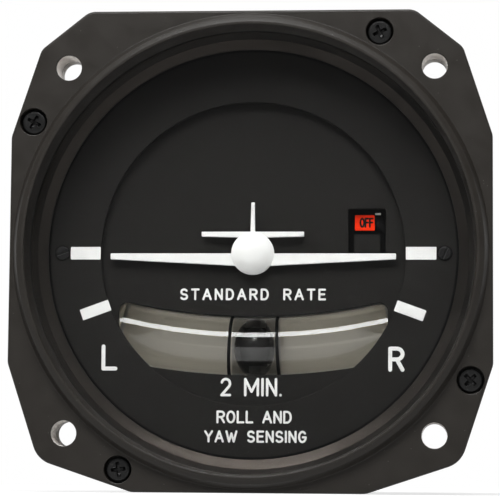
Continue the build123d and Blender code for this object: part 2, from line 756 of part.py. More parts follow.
# Chassis: front plate, rear plate and four posts
with BuildPart() as front_plate:
    ring(PLATE_R, HOUSING_R, PLATE_Y, PLATE_T)
    ring(SMALL_SCREW_R + SLIP, 0, PLATE_Y, PLATE_T, LUGS, Mode.SUBTRACT)
    ring(MASK_SCREW_R + SLIP, 0, PLATE_Y, PLATE_T, POSTS, Mode.SUBTRACT)
pieces["front_plate"] = front_plate

with BuildPart() as chassis_screws:
    length = PLATE_T + LUG_L - SMALL_SCREW_SHORT
    head_screws(PLATE_Y - SMALL_HEAD_H, LUGS, SMALL_HEAD_R, SMALL_HEAD_H, SMALL_SCREW_R, length)
pieces["chassis_screws"] = chassis_screws

with BuildPart() as frame_posts:
    ring(POST_R, 0, PLATE_BACK, CHASSIS_L, POSTS)
pieces["frame_posts"] = frame_posts

with BuildPart() as rear_plate:
    ring(REAR_PLATE_R, 0, REAR_PLATE_Y, PLATE_T)
    ring(LUG_R + GAP, 0, REAR_PLATE_Y, PLATE_T, LUGS, Mode.SUBTRACT)
    ring(MASK_SCREW_R + SLIP, 0, REAR_PLATE_Y, PLATE_T, POSTS, Mode.SUBTRACT)
pieces["rear_plate"] = rear_plate

with BuildPart() as post_screws:
    level = REAR_PLATE_BACK + SMALL_HEAD_H
    head_screws(level, POSTS, SMALL_HEAD_R, SMALL_HEAD_H, MASK_SCREW_R, PLATE_T, False)
pieces["post_screws"] = post_screws

# Gimbal: a ring round the rotor with bosses for its bearings and a pivot at each end
with BuildPart() as gimbal_frame:
    with BuildSketch(Plane(origin=GYRO, x_dir=(1, 0, 0), z_dir=AXIS_N)):
        RectangleRounded(2 * (GIMBAL_IN_X + GIMBAL_WALL), 2 * GIMBAL_OUT_G, GIMBAL_ROUND)
        RectangleRounded(2 * GIMBAL_IN_X, 2 * GIMBAL_IN_G, GIMBAL_IN_ROUND, mode=Mode.SUBTRACT)
    extrude(amount=GIMBAL_DEPTH / 2, both=True)
    for side in (-1, 1):
        start = GIMBAL_IN_X if side > 0 else -GIMBAL_IN_X - GIMBAL_WALL
        spin_ring(GIMBAL_BOSS_R, 0, start, GIMBAL_WALL)
        spin_ring(SPIN_BEARING_R, 0, start, GIMBAL_WALL, Mode.SUBTRACT)
    for start in (GIMBAL_IN_G, -GIMBAL_OUT_G):
        canted_ring(PIVOT_R, 0, start, GIMBAL_WALL, Mode.SUBTRACT)
pieces["gimbal_frame"] = gimbal_frame

with BuildPart() as spin_bearings:
    for start in (GIMBAL_IN_X, -GIMBAL_IN_X - GIMBAL_WALL):
        spin_ring(SPIN_BEARING_R, ROTOR_SHAFT_R + RUN, start, GIMBAL_WALL)
pieces["spin_bearings"] = spin_bearings

with BuildPart() as gimbal_pivots:
    canted_ring(PIVOT_R, 0, GIMBAL_IN_G, SECTOR_HEEL_G - GIMBAL_IN_G)
    canted_ring(PIVOT_R, 0, -DAMPER_DISC_G - DAMPER_DISC_T, DAMPER_DISC_G + DAMPER_DISC_T - GIMBAL_IN_G)
    canted_ring(COLLET_R, 0, BRACKET_FAR_G + GAP, SPRING_STRIP_W)
pieces["gimbal_pivots"] = gimbal_pivots

with BuildPart() as rotor:
    half = ROTOR_L / 2
    spin_ring(ROTOR_R, ROTOR_R - RIM_T, -half, ROTOR_L)
    spin_ring(ROTOR_R, 0, -half, WEB_T)
    spin_ring(ROTOR_HUB_R, 0, -half, ROTOR_HUB_L)
    spin_ring(ROTOR_SHAFT_R, 0, -half, ROTOR_HUB_L, Mode.SUBTRACT)
    rims = rotor.edges().filter_by(GeomType.CIRCLE).filter_by(lambda e: e.radius > ROTOR_R - SLIP)
    chamfer(rims, RIM_BREAK)
pieces["rotor"] = rotor

with BuildPart() as rotor_shaft:
    spin_ring(ROTOR_SHAFT_R, 0, -GIMBAL_IN_X - GIMBAL_WALL, 2 * (GIMBAL_IN_X + GIMBAL_WALL))
pieces["rotor_shaft"] = rotor_shaft

MAGNET_R = ROTOR_R - RIM_T
with BuildPart() as hysteresis_ring:
    spin_ring(MAGNET_R, MAGNET_R - RING_MAGNET_T, -ROTOR_L / 2 + WEB_T, ROTOR_L - WEB_T)
pieces["hysteresis_ring"] = hysteresis_ring

STATOR_R = MAGNET_R - RING_MAGNET_T - STATOR_GAP
STATOR_BORE_R = ROTOR_SHAFT_R + 2 * GAP
STATOR_X = ROTOR_L / 2 - STATOR_L - STATOR_END_GAP
with BuildPart() as stator:
    with BuildSketch(Plane.YZ.offset(STATOR_X)):
        with Locations((GYRO_Y, 0)):
            Circle(STATOR_R)
            Circle(STATOR_R - STATOR_SHOE_T, mode=Mode.SUBTRACT)
            Circle(STATOR_CORE_R)
            with PolarLocations(0, STATOR_POLES // 2, angular_range=180):
                Rectangle(2 * STATOR_R - STATOR_SHOE_T, STATOR_POLE_W)
            Circle(STATOR_BORE_R, mode=Mode.SUBTRACT)
    extrude(amount=STATOR_L)
    stem_l = GIMBAL_IN_X - STATOR_X - STATOR_L
    spin_ring(STATOR_BORE_R + STATOR_STEM_WALL, STATOR_BORE_R, STATOR_X + STATOR_L, stem_l)
pieces["stator"] = stator

# Brackets that carry the gimbal between the chassis plates
STOP_ANGLE = SECTOR_HALF_ANGLE + GIMBAL_SWING + degrees((STOP_PIN_R + GAP) / STOP_CIRCLE_R)
STOP_PINS = [polar(STOP_CIRCLE_R, -90 + side * STOP_ANGLE) for side in (-1, 1)]


def canted_point(distance, rise):
    """The (Y, Z) place of a point this far along the gimbal axis and this far above it."""
    spot = GYRO + AXIS_G * distance + AXIS_N * rise
    return (spot.Y, spot.Z)


def bracket_bridge(near, far, level, plate_y):
    """The arm that carries a bracket's plate to a chassis plate, drawn from the side, and its foot."""
    way = 1 if far > near else -1
    low = (level - far * sin(radians(CANT))) / cos(radians(CANT))
    high = (level + BRIDGE_T - near * sin(radians(CANT))) / cos(radians(CANT))
    with BuildSketch(Plane.YZ) as profile:
        with BuildLine():
            Polyline(
                canted_point(near, 0),
                canted_point(far, 0),
                canted_point(far, low),
                (plate_y, level),
                (plate_y, level + BRIDGE_T),
                canted_point(near, high),
                close=True,
            )
        make_face()
        with Locations((plate_y + way * BRACKET_FOOT_T / 2, level + BRACKET_FOOT_H / 2)):
            Rectangle(BRACKET_FOOT_T, BRACKET_FOOT_H)
    extrude(profile.sketch, amount=BRACKET_HALF_W, both=True)


with BuildPart() as front_bracket:
    bracket_bridge(BRACKET_G, BRACKET_FAR_G, FRONT_BRIDGE_Z, PLATE_BACK)
    with BuildSketch(canted(BRACKET_G)):
        Circle(BRACKET_BOSS_R)
        with Locations(*STOP_PINS):
            Circle(2 * STOP_PIN_R)
        make_hull()
    extrude(amount=BRACKET_T)
    canted_ring(PIVOT_BEARING_R, 0, BRACKET_G, BRACKET_T, Mode.SUBTRACT)
    with BuildSketch(canted(BRACKET_G)):
        with Locations(*STOP_PINS):
            Circle(STOP_PIN_R)
    extrude(amount=BRACKET_T, mode=Mode.SUBTRACT)
    with BuildSketch(canted(BRACKET_FAR_G)):
        with Locations((SPRING_OUT_R + SPRING_STRIP_T / 2 + SLIP + SPRING_STUD_R, 0)):
            Circle(SPRING_STUD_R)
    extrude(amount=GAP + SPRING_STRIP_W)
pieces["front_bracket"] = front_bracket

with BuildPart() as rear_bracket:
    bracket_bridge(-BRACKET_G, -BRACKET_FAR_G, REAR_BRIDGE_Z, REAR_PLATE_Y)
    canted_ring(BRACKET_BOSS_R, 0, -BRACKET_FAR_G, BRACKET_T)
    canted_ring(PIVOT_BEARING_R, 0, -BRACKET_FAR_G, BRACKET_T, Mode.SUBTRACT)
pieces["rear_bracket"] = rear_bracket

with BuildPart() as pivot_bearings:
    for start in (BRACKET_G, -BRACKET_FAR_G):
        canted_ring(PIVOT_BEARING_R, PIVOT_R + RUN, start, BRACKET_T)
pieces["pivot_bearings"] = pivot_bearings

with BuildPart() as stop_pins:
    with BuildSketch(canted(BRACKET_G)):
        with Locations(*STOP_PINS):
            Circle(STOP_PIN_R)
    extrude(amount=SECTOR_HEEL_G - BRACKET_G)
pieces["stop_pins"] = stop_pins

# Viscous damper on the rear pivot
with BuildPart() as damper_cup:
    canted_ring(DAMPER_R, 0, -BRACKET_FAR_G - DAMPER_L, DAMPER_L)
    canted_ring(DAMPER_R - DAMPER_WALL, 0, -BRACKET_FAR_G - DAMPER_L, DAMPER_L - DAMPER_WALL, Mode.SUBTRACT)
    canted_ring(PIVOT_R + RUN, 0, -BRACKET_FAR_G - DAMPER_L, DAMPER_L, Mode.SUBTRACT)
pieces["damper_cup"] = damper_cup

with BuildPart() as damper_cover:
    canted_ring(DAMPER_R - DAMPER_WALL, 0, -BRACKET_FAR_G - DAMPER_L, DAMPER_WALL)
pieces["damper_cover"] = damper_cover

with BuildPart() as damper_disc:
    disc_r = DAMPER_R - DAMPER_WALL - DAMPER_FILM
    canted_ring(disc_r, PIVOT_R, -DAMPER_DISC_G - DAMPER_DISC_T, DAMPER_DISC_T)
pieces["damper_disc"] = damper_disc

# Hairspring: half circles whose radius grows, from the front pivot out to a stud on the bracket
with BuildPart() as hairspring:
    reach = [SPRING_IN_R + k * SPRING_PITCH / 2 for k in range(2 * SPRING_TURNS + 1)]
    with BuildSketch(canted(BRACKET_FAR_G + GAP)):
        with BuildLine():
            for k in range(2 * SPRING_TURNS):
                way = 1 if k % 2 == 0 else -1
                middle = way * (reach[k] - reach[k + 1]) / 2
                mean = (reach[k] + reach[k + 1]) / 2
                ThreePointArc((way * reach[k], 0), (middle, way * mean), (-way * reach[k + 1], 0))
        trace(line_width=SPRING_STRIP_T)
    extrude(amount=SPRING_STRIP_W)
pieces["hairspring"] = hairspring

# Slip indicator: a ball in a bent glass tube behind the dial
with BuildPart() as inclinometer_tube:
    along_arc(TUBE_R, TUBE_BORE_R, TUBE_HALF_ANGLE, -TUBE_HALF_ANGLE)
pieces["inclinometer_tube"] = inclinometer_tube

with BuildPart() as tube_plugs:
    along_arc(TUBE_BORE_R, 0, TUBE_HALF_ANGLE, TUBE_HALF_ANGLE - PLUG_L_ANGLE)
    along_arc(TUBE_BORE_R, 0, PLUG_L_ANGLE - TUBE_HALF_ANGLE, -TUBE_HALF_ANGLE)
pieces["tube_plugs"] = tube_plugs

with BuildPart() as inclinometer_ball:
    with Locations((0, TUBE_Y, TUBE_Z)):
        Sphere(BALL_R)
pieces["inclinometer_ball"] = inclinometer_ball

with BuildPart() as tube_backing:
    with BuildSketch(facing(BACKING_Y)):
        tube_window()
    extrude(amount=-BACKING_T)
pieces["tube_backing"] = tube_backing

with BuildPart() as centre_lines:
    for side in (-1, 1):
        lean = degrees(side * CENTRE_LINE_X / TUBE_ARC_R)
        with BuildSketch(arc_plane(lean)):
            Circle(TUBE_R + CENTRE_LINE_T)
            Circle(TUBE_R, mode=Mode.SUBTRACT)
        extrude(amount=CENTRE_LINE_W / 2, both=True)
    ring(DIAL_R, 0, TUBE_Y, 2 * TUBE_R, mode=Mode.SUBTRACT)
pieces["centre_lines"] = centre_lines

CLIP_ANGLES = [side * (TUBE_HALF_ANGLE - CLIP_INSET_ANGLE) for side in (-1, 1)]
with BuildPart() as tube_clips:
    for lean in CLIP_ANGLES:
        half_turn = degrees(CLIP_W / 2 / TUBE_ARC_R)
        along_arc(TUBE_R + CLIP_T, TUBE_R, lean + half_turn, lean - half_turn)
    ring(PLATE_R, 0, DIAL_Y, TUBE_Y - DIAL_Y, mode=Mode.SUBTRACT)
    for lean in CLIP_ANGLES:
        spot = arc_plane(lean).origin
        ring(CLIP_W / 2, 0, TUBE_Y + TUBE_R, PLATE_Y - TUBE_Y - TUBE_R, [(spot.X, spot.Z)])
pieces["tube_clips"] = tube_clips

# Warning flag: it stands in its window without power, and swings down behind the shield with power
with BuildPart() as flag_shield:
    with BuildSketch(facing(SHIELD_Y)):
        with Locations((FLAG_WINDOW_CENTRE[0], SHIELD_TOP - SHIELD_SIZE[1] / 2)):
            Rectangle(*SHIELD_SIZE)
    extrude(amount=-SHIELD_T)
pieces["flag_shield"] = flag_shield

with BuildPart() as off_flag:
    px, pz = FLAG_PIVOT
    cx, cz = FLAG_CENTRE
    corner = (cx + FLAG_SIZE[0] / 2, cz + FLAG_SIZE[1] / 2)
    with BuildSketch(facing(FLAG_Y)):
        with Locations(FLAG_CENTRE):
            Rectangle(*FLAG_SIZE)
        with BuildLine():
            Polyline(
                (corner[0] - FLAG_ARM_W, corner[1]),
                corner,
                (px + FLAG_ARM_W / 2, pz + FLAG_ARM_W / 2),
                (px - FLAG_ARM_W / 2, pz - FLAG_ARM_W / 2),
                (corner[0] - FLAG_ARM_W, corner[1] - FLAG_ARM_W),
                close=True,
            )
        make_face()
        with Locations(FLAG_PIVOT):
            Circle(FLAG_HUB_R)
            Circle(FLAG_SPINDLE_R, mode=Mode.SUBTRACT)
    extrude(amount=-FLAG_T)
pieces["off_flag"] = off_flag

with BuildPart() as flag_spindle:
    ring(FLAG_SPINDLE_R, 0, FLAG_Y, METER_Y + METER_L / 2 - FLAG_Y, [FLAG_PIVOT])
pieces["flag_spindle"] = flag_spindle

with BuildPart() as flag_meter:
    ring(METER_R, 0, METER_Y, METER_L, [FLAG_PIVOT])
    ring(FLAG_SPINDLE_R + RUN, 0, METER_Y, METER_L / 2 + GAP, [FLAG_PIVOT], Mode.SUBTRACT)
pieces["flag_meter"] = flag_meter

# Power supply board behind the rear plate
BOARD_POSTS = [polar(BOARD_POST_CIRCLE_R, a) for a in BOARD_POST_ANGLES]
with BuildPart() as board_posts:
    ring(BOARD_POST_R, 0, REAR_PLATE_BACK, BOARD_GAP, BOARD_POSTS)
pieces["board_posts"] = board_posts

with BuildPart() as circuit_board:
    with BuildSketch(facing(BOARD_Y)):
        Circle(BOARD_R)
        Rectangle(2 * BOARD_R, 2 * (BOARD_R - BOARD_FLAT), mode=Mode.INTERSECT)
    extrude(amount=-BOARD_T)
pieces["circuit_board"] = circuit_board

with BuildPart() as board_parts:
    ring(CAPACITOR_R, 0, BOARD_BACK, CAPACITOR_L, CAPACITOR_PLACES)
    blocks = ((TRANSFORMER_PLACE, TRANSFORMER), (REGULATOR_PLACE, REGULATOR), (RELAY_PLACE, RELAY))
    for place, (width, height, depth) in blocks:
        with BuildSketch(facing(BOARD_BACK)):
            with Locations(place):
                Rectangle(width, height)
        extrude(amount=-depth)
pieces["board_parts"] = board_parts

# Case, with a flange like the bezel's, a ledge for the chassis and bosses for the rear cover
with BuildPart() as case_gasket:
    with BuildSketch(facing(BEZEL_T)):
        flange_face()
        Circle(SPACER_R + SLIP, mode=Mode.SUBTRACT)
        with Locations(*MOUNT_HOLES):
            Circle(MOUNT_HOLE_R + GAP, mode=Mode.SUBTRACT)
        with Locations(*CASE_SCREWS):
            Circle(SCREW_SHANK_R + SLIP, mode=Mode.SUBTRACT)
    extrude(amount=-CASE_GASKET_T)
pieces["case_gasket"] = case_gasket

with BuildPart() as case_shell:
    with BuildSketch(facing(CASE_Y)):
        flange_face()
    extrude(amount=-CASE_FLANGE_T)
    ring(CASE_R, 0, CASE_Y, CASE_L)
    with BuildSketch(Plane.XY):
        with BuildLine():
            Polyline(
                (0, CASE_Y),
                (SPACER_R + SLIP, CASE_Y),
                (SPACER_R + SLIP, MASK_BACK),
                (CASE_BORE_R, MASK_BACK),
                (CASE_BORE_R, PLATE_BACK),
                (CASE_BORE_R - LEDGE_W, PLATE_BACK),
                (CASE_BORE_R - LEDGE_W, PLATE_BACK + LEDGE_T),
                (CASE_BORE_R, PLATE_BACK + LEDGE_T + LEDGE_W),
                (CASE_BORE_R, CASE_END),
                (0, CASE_END),
                close=True,
            )
        make_face()
    revolve(axis=Axis.Y, mode=Mode.SUBTRACT)
    for centres, radius, start, length in (
        (LUGS, LUG_R, PLATE_BACK, LUG_L),
        (REAR_BOSSES, REAR_BOSS_R, CASE_END - REAR_SPIGOT_T - REAR_BOSS_L, REAR_BOSS_L),
    ):
        with BuildSketch(facing(start)):
            with Locations(*centres):
                Circle(radius)
            Circle(CASE_R - CASE_WALL / 2, mode=Mode.INTERSECT)
        extrude(amount=-length)
        ring(SMALL_SCREW_R, 0, start, length, centres, Mode.SUBTRACT)
    with BuildSketch(facing(CASE_Y)):
        with Locations(*MOUNT_HOLES):
            Circle(MOUNT_HOLE_R)
        with Locations(*CASE_SCREWS):
            Circle(SCREW_SHANK_R)
    extrude(amount=-CASE_FLANGE_T, mode=Mode.SUBTRACT)
pieces["case_shell"] = case_shell

with BuildPart() as case_screws:
    head_screws(
        SCREW_RECESS,
        CASE_SCREWS,
        SCREW_HEAD_R,
        SCREW_HEAD_H,
        SCREW_SHANK_R,
        CASE_FLANGE_BACK - SCREW_RECESS - SCREW_HEAD_H,
    )
    cross_slots(SCREW_RECESS, CASE_SCREWS, DRIVE_L, DRIVE_W, DRIVE_DEPTH, DRIVE_TURN)
pieces["case_screws"] = case_screws

with BuildPart() as rear_gasket:
    ring(CASE_R, CASE_BORE_R, CASE_END, REAR_GASKET_T)
pieces["rear_gasket"] = rear_gasket

with BuildPart() as rear_cover:
    ring(CASE_R, 0, COVER_Y, REAR_COVER_T)
    chamfer(rear_cover.faces().sort_by(Axis.Y)[-1].edges(), EDGE_BREAK)
    ring(CASE_BORE_R - SLIP, 0, CASE_END - REAR_SPIGOT_T, REAR_SPIGOT_T + REAR_GASKET_T)
    ring(
        CASE_BORE_R - SLIP - CASE_WALL - 2 * REAR_BOSS_R,
        0,
        CASE_END - REAR_SPIGOT_T,
        REAR_SPIGOT_T,
        mode=Mode.SUBTRACT,
    )
    ring(
        SMALL_SCREW_R + SLIP,
        0,
        CASE_END - REAR_SPIGOT_T,
        COVER_BACK - CASE_END + REAR_SPIGOT_T,
        REAR_BOSSES,
        Mode.SUBTRACT,
    )
    ring(SHELL_BORE_R, 0, CASE_END - SLIP, COVER_BACK - CASE_END + SLIP, PLUG, Mode.SUBTRACT)
    ring(SMALL_SCREW_R, 0, COVER_BACK - REAR_COVER_T / 2, REAR_COVER_T / 2, PLUG_SCREWS, Mode.SUBTRACT)
pieces["rear_cover"] = rear_cover

with BuildPart() as rear_screws:
    head_screws(
        COVER_BACK + SMALL_HEAD_H,
        REAR_BOSSES,
        SMALL_HEAD_R,
        SMALL_HEAD_H,
        SMALL_SCREW_R,
        COVER_BACK - CASE_END + REAR_SPIGOT_T + REAR_BOSS_L / 2,
        False,
    )
pieces["rear_screws"] = rear_screws

# Connector


def connector_square(start, thickness, bore_r):
    """A square flange with rounded corners, four screw holes and a bore."""
    with BuildSketch(facing(start)) as section:
        with Locations(*PLUG):
            RectangleRounded(CONNECTOR_FLANGE, CONNECTOR_FLANGE, CONNECTOR_ROUND)
            Circle(bore_r, mode=Mode.SUBTRACT)
        with Locations(*PLUG_SCREWS):
            Circle(SMALL_SCREW_R + SLIP, mode=Mode.SUBTRACT)
    extrude(section.sketch, amount=-thickness)


with BuildPart() as connector_gasket:
    connector_square(COVER_BACK, CONNECTOR_GASKET_T, SHELL_BORE_R)
pieces["connector_gasket"] = connector_gasket

with BuildPart() as connector_shell:
    connector_square(FLANGE_Y, CONNECTOR_FLANGE_T, SHELL_BORE_R)
    ring(SHELL_R, SHELL_BORE_R, FLANGE_Y, SHELL_L, PLUG)
    chamfer(
        connector_shell.faces().sort_by(Axis.Y)[-1].outer_wire().edges(),
        EDGE_BREAK,
    )
pieces["connector_shell"] = connector_shell

with BuildPart() as connector_insert:
    ring(SHELL_BORE_R, 0, COVER_BACK, FLANGE_Y - COVER_BACK + INSERT_L, PLUG)
    with BuildSketch(facing(COVER_BACK)):
        with Locations(*PLUG):
            with PolarLocations(PIN_CIRCLE_R, PIN_COUNT, start_angle=90):
                Circle(PIN_R)
    extrude(amount=COVER_BACK - FLANGE_Y - INSERT_L, mode=Mode.SUBTRACT)
pieces["connector_insert"] = connector_insert

with BuildPart() as connector_pins:
    with BuildSketch(facing(COVER_Y)):
        with Locations(*PLUG):
            with PolarLocations(PIN_CIRCLE_R, PIN_COUNT, start_angle=90):
                Circle(PIN_R)
    extrude(amount=-(FLANGE_Y + INSERT_L + PIN_L - COVER_Y))
pieces["connector_pins"] = connector_pins

with BuildPart() as connector_screws:
    head_screws(
        FLANGE_Y + CONNECTOR_FLANGE_T + SMALL_HEAD_H,
        PLUG_SCREWS,
        SMALL_HEAD_R,
        SMALL_HEAD_H,
        SMALL_SCREW_R,
        FLANGE_Y + CONNECTOR_FLANGE_T - COVER_BACK + REAR_COVER_T / 2,
        False,
    )
pieces["connector_screws"] = connector_screws

os.makedirs("parts", exist_ok=True)
for name, piece in pieces.items():
    piece.part.label = name
    export_step(piece.part, f"parts/{name}.step")
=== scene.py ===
import json
import math

import bmesh
import bpy
import numpy as np
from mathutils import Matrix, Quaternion, Vector
from mathutils.geometry import tessellate_polygon


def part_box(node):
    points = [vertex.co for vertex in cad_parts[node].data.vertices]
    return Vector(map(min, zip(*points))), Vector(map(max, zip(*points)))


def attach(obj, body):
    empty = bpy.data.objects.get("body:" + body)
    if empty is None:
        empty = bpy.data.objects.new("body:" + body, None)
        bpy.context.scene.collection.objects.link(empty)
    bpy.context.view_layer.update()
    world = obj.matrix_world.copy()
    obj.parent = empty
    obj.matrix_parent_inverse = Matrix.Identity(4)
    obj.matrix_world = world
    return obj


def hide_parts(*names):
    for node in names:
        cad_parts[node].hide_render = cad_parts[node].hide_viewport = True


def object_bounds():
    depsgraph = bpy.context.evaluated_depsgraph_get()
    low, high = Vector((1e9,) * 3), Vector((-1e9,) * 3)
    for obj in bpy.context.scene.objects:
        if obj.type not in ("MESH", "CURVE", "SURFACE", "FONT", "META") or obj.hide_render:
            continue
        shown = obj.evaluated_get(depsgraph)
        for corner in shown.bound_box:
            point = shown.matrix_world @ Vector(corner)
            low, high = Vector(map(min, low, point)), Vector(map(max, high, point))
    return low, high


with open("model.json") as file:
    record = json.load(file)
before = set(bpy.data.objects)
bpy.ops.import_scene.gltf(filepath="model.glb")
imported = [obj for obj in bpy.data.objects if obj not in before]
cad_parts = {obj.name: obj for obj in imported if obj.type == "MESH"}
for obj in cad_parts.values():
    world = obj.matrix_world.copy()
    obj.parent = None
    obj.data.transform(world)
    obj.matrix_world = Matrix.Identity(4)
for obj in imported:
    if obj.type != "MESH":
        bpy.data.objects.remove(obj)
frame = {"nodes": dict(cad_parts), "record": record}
CAD_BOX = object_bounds()

bl_info = {
    "name": "Turn Coordinator Builder",
    "version": (1, 0, 0),
    "blender": (4, 5, 0),
    "location": "3D View > Sidebar > Turn Coordinator",
    "description": "Dresses the packed turn coordinator with fine surfaces, paint, glass and lettering",
    "category": "Add Mesh",
}

MM = 0.001


def span(node):
    """Lowest and highest corner of a CAD node, in millimetres."""
    low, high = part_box(node)
    return np.array(low) / MM, np.array(high) / MM


# Depths and reaches that follow the CAD nodes, in millimetres
FLANGE = span("bezel")[1][0]
BEZEL_BACK = span("bezel")[1][1]
RING_FRONT = span("bezel")[0][1]
GLASS_R = span("front_glass")[1][0]
GLASS_FRONT, GLASS_BACK = span("front_glass")[0][1], span("front_glass")[1][1]
SPACER_R = span("glass_spacer")[1][0]
MASK_R = span("dial_mask")[1][0]
MASK_FRONT, MASK_BACK = span("dial_mask")[0][1], span("dial_mask")[1][1]
DIAL_R = span("dial_plate")[1][0]
DIAL_FRONT, DIAL_BACK = span("dial_plate")[0][1], span("dial_plate")[1][1]
CASE_FRONT, CASE_END = span("case_shell")[0][1], span("case_shell")[1][1]
COVER_FRONT, COVER_BACK = span("rear_gasket")[1][1], span("rear_cover")[1][1]
SHELL_FRONT, SHELL_END = span("connector_shell")[0][1], span("connector_shell")[1][1]
PIN_FRONT, PIN_TIP = span("connector_pins")[0][1], span("connector_pins")[1][1]
FLAG_FRONT, FLAG_BACK = span("off_flag")[0][1], span("off_flag")[1][1]
TUBE_Y = (span("inclinometer_tube")[0][1] + span("inclinometer_tube")[1][1]) / 2

# Plan sizes of the face, in millimetres
MOUTH_R = 38.5
LIP_R = 38.2
RING_FOOT_R = 40.85
OPENING_R = 26.4
CASE_R = 39.3
BORE_R = 37.7
FLANGE_T = 2.5
MOUNT_R = 2.2
MOUNT_CIRCLE = 44.456
SCREW_CIRCLE = 43.5
SCREW_TURN = 59.5
TUBE_R = 5.2
TUBE_ARC = 104.0
TUBE_Z = -15.96
TUBE_HALF = 15.0
BALL_R = 3.6
SHELL_R = 7.94
SHELL_BORE = 6.5
PLUG_Z = -10.0
THREAD_PITCH = 1.27


class FinishSettings(bpy.types.PropertyGroup):
    enamel: bpy.props.FloatVectorProperty(
        name="Bezel enamel", description="Colour of the bezel's satin enamel", subtype="COLOR",
        default=(0.0262, 0.0228, 0.0192), min=0, max=1)
    dial: bpy.props.FloatVectorProperty(
        name="Dial black", description="Colour of the matt dial and its mask", subtype="COLOR",
        default=(0.0108, 0.0100, 0.0090), min=0, max=1)
    white: bpy.props.FloatVectorProperty(
        name="White paint", description="Colour of the pointer, the marks and the letters", subtype="COLOR",
        default=(0.80, 0.795, 0.78), min=0, max=1)
    flag: bpy.props.FloatVectorProperty(
        name="Flag orange", description="Colour of the warning flag", subtype="COLOR",
        default=(0.84, 0.03, 0.003), min=0, max=1)
    backing: bpy.props.FloatVectorProperty(
        name="Tube backing", description="Colour of the pale plate behind the tube", subtype="COLOR",
        default=(0.80, 0.74, 0.635), min=0, max=1)
    case: bpy.props.FloatVectorProperty(
        name="Case paint", description="Colour of the case and its rear cover", subtype="COLOR",
        default=(0.022, 0.022, 0.022), min=0, max=1)


class FaceSettings(bpy.types.PropertyGroup):
    edge: bpy.props.FloatProperty(
        name="Edge rounding", description="Radius of the flange's outer edge", unit="LENGTH",
        default=0.0004, min=0.00005, max=0.0006)
    paint: bpy.props.FloatProperty(
        name="Paint thickness", description="How far marks and letters stand off the dial", unit="LENGTH",
        default=0.00005, min=0.00001, max=0.0002)
    letter_stroke: bpy.props.FloatProperty(
        name="Letter stroke", description="Stroke width of the large letters", unit="LENGTH",
        default=0.00068, min=0.0001, max=0.001)
    caption_stroke: bpy.props.FloatProperty(
        name="Caption stroke", description="Stroke width of the small captions", unit="LENGTH",
        default=0.00036, min=0.0001, max=0.001)
    turn_steps: bpy.props.IntProperty(
        name="Turning steps", description="Points round a large turned surface",
        default=256, min=48, max=512)


class StudioSettings(bpy.types.PropertyGroup):
    camera_place: bpy.props.FloatVectorProperty(
        name="Camera place", description="Where the camera stands", subtype="TRANSLATION", unit="LENGTH",
        default=(0.0328, -0.40, -0.04))
    camera_aim: bpy.props.FloatVectorProperty(
        name="Camera aim", description="The point that the camera looks at", subtype="TRANSLATION",
        unit="LENGTH", default=(0.00014, 0.0, -0.00014))
    camera_roll: bpy.props.FloatProperty(
        name="Camera roll", description="Turn of the camera about its line of sight", subtype="ANGLE",
        unit="ROTATION", default=math.radians(0.471))
    focal_length: bpy.props.FloatProperty(
        name="Focal length", description="Focal length on a 36 mm sensor", unit="CAMERA",
        default=170.67, min=20, max=400)
    key: bpy.props.FloatProperty(
        name="Key light", description="Power of the large light above and to the left", unit="POWER",
        default=0.4, min=0)
    fill: bpy.props.FloatProperty(
        name="Fill light", description="Power of the light to the right", unit="POWER",
        default=0.12, min=0)
    strip: bpy.props.FloatProperty(
        name="Strip light", description="Power of the wide light above the front", unit="POWER",
        default=2.52, min=0)
    sky: bpy.props.FloatProperty(
        name="Sky", description="Strength of the even light all round", default=0.05, min=0)


def settings():
    """The finish, face and studio settings of the scene."""
    scene = bpy.context.scene
    return scene.coordinator_finish, scene.coordinator_face, scene.coordinator_studio


def grid_faces(rows, cols, wrap_rows, wrap_cols, start=0):
    """Quads between neighbours of a grid of rows by cols points, joined end to start where it wraps."""
    row = np.arange(rows if wrap_rows else rows - 1)
    col = np.arange(cols if wrap_cols else cols - 1)
    row, col = np.meshgrid(row, col, indexing="ij")
    below, right = (row + 1) % rows, (col + 1) % cols
    quads = np.stack([row * cols + col, row * cols + right, below * cols + right, below * cols + col], -1)
    return (quads.reshape(-1, 4) + start).tolist()


def circle(radius, steps, centre=(0.0, 0.0)):
    """Points (x, z) round a circle: centre plus radius times (cos a, sin a)."""
    turn = np.linspace(0, 2 * np.pi, steps, endpoint=False)
    return np.stack([centre[0] + radius * np.cos(turn), centre[1] + radius * np.sin(turn)], -1)


def rounded(corners, radii, steps=6):
    """A closed outline whose corners are arcs.

    Each arc touches both sides of its corner: its centre lies on the corner's bisector at the radius
    divided by the sine of half the corner's angle, and its points turn evenly from side to side.
    """
    corners = np.asarray(corners, float)
    radii = np.broadcast_to(np.asarray(radii, float), (len(corners),))[:, None]
    back = np.roll(corners, 1, 0) - corners
    ahead = np.roll(corners, -1, 0) - corners
    back /= np.linalg.norm(back, axis=1, keepdims=True)
    ahead /= np.linalg.norm(ahead, axis=1, keepdims=True)
    half = np.arccos(np.clip((back * ahead).sum(1, keepdims=True), -1, 1)) / 2
    bisector = back + ahead
    bisector /= np.linalg.norm(bisector, axis=1, keepdims=True)
    centre = corners + bisector * radii / np.sin(half)
    first = corners + back * radii / np.tan(half) - centre
    last = corners + ahead * radii / np.tan(half) - centre
    sweep = np.pi - 2 * half
    share = np.linspace(0, 1, steps)[None, :, None]
    points = np.sin((1 - share) * sweep[:, None]) * first[:, None] + np.sin(share * sweep[:, None]) * last[:, None]
    return (centre[:, None] + points / np.sin(sweep)[:, None]).reshape(-1, 2)


